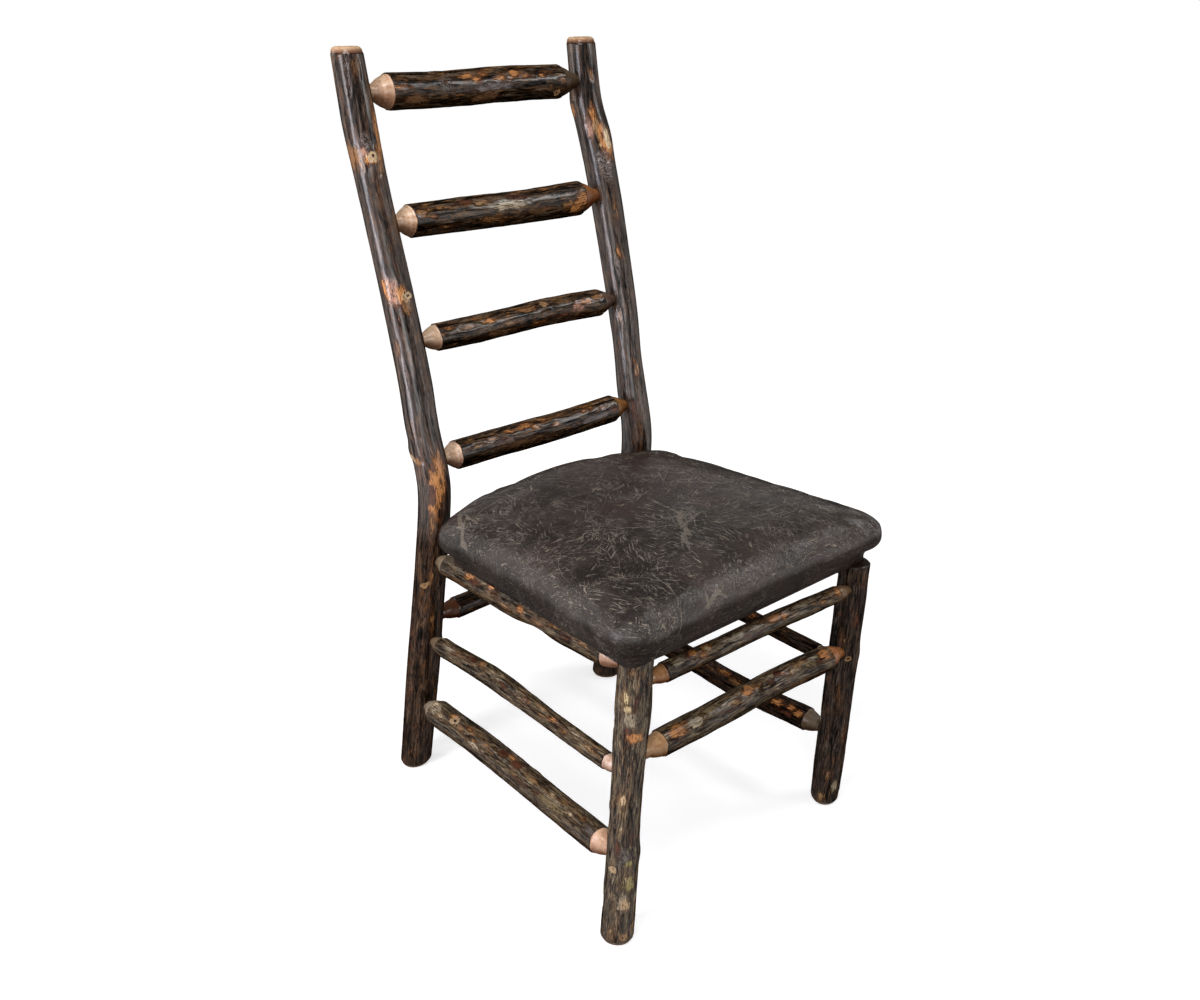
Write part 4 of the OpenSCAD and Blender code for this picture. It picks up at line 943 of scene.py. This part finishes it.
# the padding's side: share of its height, share of the swell. Its top: share of the way out, of the crown
PAD_SIDE = [(0.1, 0.6), (0.28, 0.92), (0.5, 1.0), (0.8, 0.87)]
PAD_SHOULDER = 0.57
PAD_TOP = [(0.985, 0.02), (0.94, 0.24), (0.84, 0.52), (0.66, 0.78), (0.4, 0.95), (0.14, 1.0)]
GAP, LEATHER_T, TURN_UNDER = 0.3, 1.5, 48.0
OUTSIDE = GAP + LEATHER_T
UNDER = 1 - 2 * TURN_UNDER / BOARD_FRONT_W
BOARD_FRONT_Y = FRONT_Y - OVERHANG


def board_back():
    """The board's back edge, from which the leather's swell just clears both posts."""
    reach = []
    for side in (LEFT, RIGHT):
        for share, swell in PAD_SIDE:
            z = mix(PAD_LOW, PAD_HIGH + PAD_LIFT, share)
            reach.append(post_centre(side, z)[1] - post_radius(side, z, 270.0) - PAD_SWELL * swell)
    return min(reach) - OUTSIDE - POST_CLEAR


BOARD_BACK_Y = board_back()
FRONT_X, BACK_X = BOARD_FRONT_W / 2 - CORNER, BOARD_BACK_W / 2 - CORNER
# centres of the board's round corners, from the back right one round by the back
CORNERS = [(BACK_X - SKEW, BOARD_BACK_Y - CORNER), (-BACK_X - SKEW, BOARD_BACK_Y - CORNER),
           (SKEW - FRONT_X, BOARD_FRONT_Y + CORNER), (FRONT_X + SKEW, BOARD_FRONT_Y + CORNER)]


def outline(corner_steps=14, side_steps=40):
    """Points of the board's outline, their outward directions and their share along a side."""
    arcs = []
    for i, centre in enumerate(CORNERS):
        a = np.radians(90 * i + 90 * np.arange(corner_steps + 1) / corner_steps)
        out = np.stack([np.cos(a), np.sin(a)], -1)
        arcs.append((np.array(centre) + CORNER * out, out))
    points, outs, shares = [], [], []
    for i, bow in enumerate((BOW, 0, 0, 0)):
        p, o = arcs[i]
        q, n = arcs[(i + 1) % 4]
        t = np.arange(1, side_steps)[:, None] / side_steps
        face = unit(o[-1] + n[0])
        wave = np.sin(np.pi * t)
        points += [p, mix(p[-1], q[0], t) + face * bow * wave]
        outs += [o, np.repeat(face[None], side_steps - 1, 0)]
        shares += [np.zeros(len(p)), wave[:, 0]]
    return np.concatenate(points), np.concatenate(outs), np.concatenate(shares)


OUT, NORMAL, SHARE = outline()
MIDDLE = np.array([0, (BOARD_FRONT_Y + BOARD_BACK_Y) / 2])


def seat_ring(out, z, draw=0.0, dip=0.0, lift=0.0, share=1.0):
    """The outline moved out, drawn in along its sides and shrunk to a share, at a height from which
    its corners dip and the middle of its back rises."""
    p = OUT + NORMAL * (out - draw * SHARE)[:, None]
    p = mix(MIDDLE, p, share)
    back = np.clip((p[:, 1] - BOARD_FRONT_Y) / (BOARD_BACK_Y - BOARD_FRONT_Y), 0, 1)
    middle = np.clip(1 - np.abs(2 * p[:, 0] / BOARD_BACK_W) ** np.where(p[:, 0] < 0, 5, 2), 0, 1)
    return np.concatenate([p, (z - dip * (1 - SHARE) + lift * back ** 2 * middle)[:, None]], 1)


def ring_mesh(name, rings):
    """A closed mesh through rings of equal length, with a fan at each end."""
    n = len(rings[0])
    bm = bmesh.new()
    rows = [[bm.verts.new(Vector(p) * MM) for p in ring] for ring in rings]
    for a, b in zip(rows, rows[1:]):
        for j in range(n):
            k = (j + 1) % n
            bm.faces.new((a[j], a[k], b[k], b[j]))
    for row, flip in ((rows[0], True), (rows[-1], False)):
        middle = bm.verts.new(sum((v.co for v in row), Vector()) / n)
        for j in range(n):
            k = (j + 1) % n
            bm.faces.new((middle, row[k], row[j]) if flip else (middle, row[j], row[k]))
    mesh = bpy.data.meshes.new(name)
    bm.to_mesh(mesh)
    bm.free()
    return new_piece(name, mesh)


def apply_modifiers(piece):
    bpy.context.view_layer.update()
    mesh = bpy.data.meshes.new_from_object(piece.evaluated_get(bpy.context.evaluated_depsgraph_get()))
    piece.modifiers.clear()
    old = piece.data
    piece.data = mesh
    bpy.data.meshes.remove(old)


def points_of(mesh, field="co"):
    p = np.empty(len(mesh.vertices) * 3)
    mesh.vertices.foreach_get(field, p)
    return p.reshape(-1, 3)


def move_points(mesh, p):
    mesh.vertices.foreach_set("co", p.ravel())


def cushion_rings(outer):
    """The seat's outside from its lower edge to its crown. The last ring is small and on top."""
    rings = [seat_ring(outer + 1.6, z) for z in (SEAT_H, SEAT_H + 3, SEAT_H + 7, PAD_LOW - 3)]
    rings.append(seat_ring(outer, PAD_LOW + 1))
    # the remesh draws the bulge in, so it starts further out, but not towards the posts
    spare = 3.0 * np.clip(1 - 1.6 * np.clip(NORMAL[:, 1], 0, 1), 0, 1)
    for height, swell in PAD_SIDE:
        rings.append(seat_ring(PAD_SWELL * swell + outer + spare, mix(PAD_LOW, PAD_HIGH, height), DRAW_IN,
                               PAD_DIP * height, PAD_LIFT * height))
    for share, rise in PAD_TOP:
        rings.append(seat_ring(PAD_SWELL * PAD_SHOULDER + outer, PAD_HIGH + PAD_CROWN * rise + outer, DRAW_IN,
                               PAD_DIP * share ** 2, PAD_LIFT, share))
    return rings


# Larger pale scars in the leather: place, direction in degrees, half length and half width in millimetres
SCARS = [(-200, 84, 62, 28, 3.0), (-212, 62, 50, 26, 2.4), (-190, 74, 84, 20, 2.0), (-220, 46, 70, 20, 2.0),
         (-8, -140, 45, 28, 3.6), (-24, -168, 60, 24, 3.0), (-40, -180, 38, 28, 2.6), (2, -126, 78, 18, 2.4),
         (-50, -196, 52, 20, 2.4), (8, -150, 20, 20, 2.0),
         (-92, -284, 14, 22, 2.0), (-104, -284, 60, 12, 2.0), (-84, -284, 150, 12, 1.8)]
TOP_Z = 456


def add_scars(mesh):
    """Marks where the leather's larger scars lie on its top, from 0 to 1."""
    p = points_of(mesh) / MM
    scar = np.zeros(len(p))
    for x, y, turn, half_length, half_width in SCARS:
        c, s = math.cos(math.radians(turn)), math.sin(math.radians(turn))
        dx, dy = p[:, 0] - x, p[:, 1] - y
        along = dx * c + dy * s
        across = dy * c - dx * s + 0.08 * along ** 2 / half_length
        d = np.hypot(along / half_length, across / half_width)
        scar = np.maximum(scar, np.clip(1.25 - 0.75 * d, 0, 1) * (p[:, 2] > TOP_Z))
    mesh.attributes.new("scar", "FLOAT", "POINT").data.foreach_set("value", scar)


def hug_board(mesh):
    """Lets the leather's lower edge wrap the board closely instead of rounding off inside it."""
    p = points_of(mesh) / MM
    want = OUTSIDE - 0.2
    for i in np.nonzero(p[:, 2] < PAD_LOW + 6)[0]:
        x, y, z = p[i]
        near = np.argmin((OUT[:, 0] - x) ** 2 + (OUT[:, 1] - y) ** 2)
        out = (x - OUT[near, 0]) * NORMAL[near, 0] + (y - OUT[near, 1]) * NORMAL[near, 1]
        if -7 < out < want:
            p[i, :2] += NORMAL[near] * (want - out) * (1 if z < PAD_LOW else 0.5)
        if z < SEAT_H + 2.2:
            p[i, 2] = SEAT_H + 0.02
    move_points(mesh, p * MM)
    mesh.update()


VOXEL, LAST_FRAME, FURTHEST = 5.5 * MM, 20, 5 * MM


def blow_up(piece, rest, pinned):
    """Where the points end after a short cloth simulation under pressure, a few millimetres out at most."""
    pins = piece.vertex_groups.new(name="pins")
    for i in np.nonzero(pinned)[0]:
        pins.add([int(i)], 1.0, "REPLACE")
    cloth = piece.modifiers.new("cloth", "CLOTH")
    s = cloth.settings
    s.quality, s.mass = 6, 0.35
    s.tension_stiffness = s.compression_stiffness = 18
    s.bending_stiffness = 0.6
    s.use_pressure, s.uniform_pressure_force = True, 4
    s.effector_weights.gravity = 0
    s.vertex_group_mass = "pins"
    cloth.collision_settings.use_collision = False
    cloth.point_cache.frame_start, cloth.point_cache.frame_end = 1, LAST_FRAME
    for frame_number in range(1, LAST_FRAME + 1):
        bpy.context.scene.frame_set(frame_number)
    evaluated = piece.evaluated_get(bpy.context.evaluated_depsgraph_get())
    step = points_of(evaluated.data) - rest
    piece.modifiers.clear()
    bpy.context.scene.frame_set(1)
    far = np.linalg.norm(step, axis=1)
    return rest + step * (FURTHEST * np.tanh(far / FURTHEST) / np.maximum(far, 1e-9))[:, None]


# height of the gathers at the corners, how far they reach up and down and round in degrees, how deep
# they are and how many would make a full turn
GATHER_Z, GATHER_REACH, GATHER_ROUND, GATHER_D, GATHERS = 424, 20, 38, 1.1, 15


def gathers(p):
    """Small gathers where the leather is drawn round the corners, and a slight unevenness all over."""
    lift = np.zeros(len(p))
    for (x, y), start in zip(CORNERS, (45, 135, 225, 315)):
        dx, dy = p[:, 0] - x, p[:, 1] - y
        a = turn_apart(np.degrees(np.arctan2(dy, dx)), start)
        near = hump(a, 0, GATHER_ROUND) * hump(p[:, 2], GATHER_Z, GATHER_REACH) * (np.hypot(dx, dy) > CORNER)
        lift += near * GATHER_D * np.sin(np.radians(a * GATHERS) + 2 * noise(p / 16, 3))
    return lift + 0.35 * fractal(p / 26, 5, 2) * (p[:, 2] > 416)


def make_cushion():
    piece = ring_mesh("seat_cushion", cushion_rings(OUTSIDE - 1.2))
    remesh = piece.modifiers.new("remesh", "REMESH")
    remesh.mode, remesh.voxel_size = "VOXEL", VOXEL
    smooth = piece.modifiers.new("smooth", "SMOOTH")
    smooth.factor, smooth.iterations = 0.5, 3
    apply_modifiers(piece)
    mesh = piece.data
    rest = points_of(mesh)
    low = rest[:, 2] < (PAD_LOW - 8) * MM
    rest[low & (rest[:, 2] < (SEAT_H + 3.2) * MM), 2] = SEAT_H * MM
    move_points(mesh, rest)
    rest = blow_up(piece, rest, low)
    move_points(mesh, rest)
    piece.vertex_groups.clear()
    normals = points_of(mesh, "normal")
    move_points(mesh, rest + normals * (gathers(rest / MM) * MM)[:, None])
    sub = piece.modifiers.new("finer", "SUBSURF")
    sub.levels = sub.render_levels = 1
    apply_modifiers(piece)
    hug_board(piece.data)
    # the hollow for the board, and the opening between the turned-under edges
    for out, share, z0, z1 in ((0.35, 1.0, BOARD_H - 0.2, PAD_LOW + 0.35),
                               (0.0, UNDER, SEAT_H - 5, BOARD_H + 2)):
        cutter = ring_mesh("cutter", [seat_ring(out, z, share=share) for z in (z0, z1)])
        cut = piece.modifiers.new("hollow", "BOOLEAN")
        cut.operation, cut.solver, cut.object = "DIFFERENCE", "EXACT", cutter
        apply_modifiers(piece)
        bpy.data.objects.remove(cutter)
    piece.data.shade_smooth()
    add_scars(piece.data)
    dress(piece, leather_material(), "leather", "seat_cover", "seat_foam")


make_cushion()
CLOTH_T, CLOTH_SAG = 0.8, 2.2


def make_dust_cloth():
    """The black cloth under the seat, sagging a little between its edges."""
    edge = seat_ring(-0.6, 0, share=UNDER)[:, :2]

    def sheet(z):
        rings = []
        for s in np.linspace(1, 0.06, 22):
            ring = mix(MIDDLE, edge, s)
            rings.append(np.concatenate([ring, np.full((len(ring), 1), z) - CLOTH_SAG * (1 - s ** 3)], 1))
        return rings
    piece = ring_mesh("dust_cloth", sheet(SEAT_H + 0.4)[::-1] + sheet(SEAT_H + 0.4 + CLOTH_T))
    bm = bmesh.new()
    bm.from_mesh(piece.data)
    bmesh.ops.recalc_face_normals(bm, faces=bm.faces)
    bm.to_mesh(piece.data)
    bm.free()
    piece.data.shade_smooth()
    dress(piece, cloth_material(), "black_cloth", "dust_cover")


make_dust_cloth()
for node, material in (("seat_board", plywood_material()), ("seat_screws", steel_material())):
    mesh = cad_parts[node].data
    mesh.materials.clear()
    mesh.materials.append(material)


# Floor, light and camera

def floor_material():
    """A pale floor that takes the chair's shadow and glows white for the camera, less so near the
    chair, so that its soft shadow shows. A mirror and glass see it as the camera does."""
    m, k = new_material("floor")
    seen = k.calc("MAXIMUM", k.make("LightPath", out="Is Camera Ray"), k.make("LightPath", out="Is Glossy Ray"))
    seen = k.calc("MAXIMUM", seen, k.make("LightPath", out="Is Transmission Ray"))
    far = k.ramp(k.length(k.make("TexCoord", out="Object")), 0.5, 1.6)
    glow = k.make("Emission", {"Color": (1, 1, 1), "Strength": seen * (far * 0.22 + 0.60)})
    diffuse = k.make("BsdfDiffuse", {"Color": (0.62, 0.62, 0.62)})
    k.make("OutputMaterial", {"Surface": k.make("AddShader", {0: diffuse, 1: glow})})
    return m


bpy.ops.mesh.primitive_plane_add(size=60, location=(0, 0, -0.0005))
floor = bpy.context.object
floor.name = "floor"
floor.data.materials.append(floor_material())

world = bpy.data.worlds.new("world")
bpy.context.scene.world = world
world.use_nodes = True
w = Nodes(world.node_tree)
# white wherever the camera looks; a mirror sees it white up to a little over the horizon and dim above
mirror, glass = (w.make("LightPath", out="Is %s Ray" % kind) for kind in ("Glossy", "Transmission"))
mirror = w.calc("MAXIMUM", mirror, glass)
low_sky = 1 - w.ramp(w.height_of(w.make("TexCoord", out="Generated")), 0.10, 0.28)
strength = w.calc("MAXIMUM", w.make("LightPath", out="Is Camera Ray"), mirror * low_sky)
strength = w.calc("MAXIMUM", (1 - mirror) * 0.22 + 0.10, strength)
w.make("OutputWorld", {"Surface": w.make("Background", {"Color": (1, 1, 1), "Strength": strength})})


def area_light(name, place, aim, size, power, colour=(1, 1, 1)):
    data = bpy.data.lights.new(name, "AREA")
    data.shape = "RECTANGLE"
    data.size, data.size_y = size
    data.energy = power
    data.color = colour
    light = new_piece(name, data)
    light.location = place
    light.rotation_euler = (Vector(aim) - Vector(place)).to_track_quat("-Z", "Y").to_euler()


area_light("front", (-0.85, -1.25, 0.95), (-0.05, -0.1, 0.5), (0.5, 0.5), 7)
area_light("left", (-1.42, -0.06, 1.05), (0, 0.05, 0.95), (0.28, 1.3), 22, (0.94, 0.92, 1.0))
area_light("right", (0.75, -1.25, 0.6), (0.1, 0.05, 0.6), (0.12, 1.0), 3, (1.0, 0.95, 0.94))
area_light("top", (-0.85, -0.64, 2.3), (0, 0, 0.4), (0.35, 0.35), 12)
area_light("sheen", (1.05, -0.85, 1.75), (0, -0.2, 0.48), (0.35, 0.35), 8)
area_light("back", (-0.85, 1.15, 1.4), (0, 0.1, 0.5), (0.5, 0.5), 4)

# the camera's place as fitted to the photograph: where it looks, how far off and how long its lens is
AZIMUTH, ELEVATION, ROLL = (math.radians(d) for d in (-40.11, 22.30, -1.28))
TARGET, DISTANCE = Vector((0.0356, 0.07115, 0.4448)), 1.6271
FOCAL_PIXELS, PHOTO_WIDTH, SENSOR = 1104.7, 1200, 36
camera_data = bpy.data.cameras.new("camera")
camera_data.sensor_width = SENSOR
camera_data.sensor_fit = "HORIZONTAL"
camera_data.lens = FOCAL_PIXELS / PHOTO_WIDTH * SENSOR
camera_data.clip_start, camera_data.clip_end = 0.05, 50
camera = new_piece("camera", camera_data)
back = Vector((math.sin(AZIMUTH) * math.cos(ELEVATION), -math.cos(AZIMUTH) * math.cos(ELEVATION),
               math.sin(ELEVATION)))
right = Vector((math.cos(AZIMUTH), math.sin(AZIMUTH), 0))
up = back.cross(right)
axes = (math.cos(ROLL) * right + math.sin(ROLL) * up, math.cos(ROLL) * up - math.sin(ROLL) * right, back,
        TARGET + back * DISTANCE)
camera.matrix_world = Matrix([*zip(*axes), (0, 0, 0, 1)])
bpy.context.scene.camera = camera
bpy.context.scene.view_settings.view_transform = "Standard"
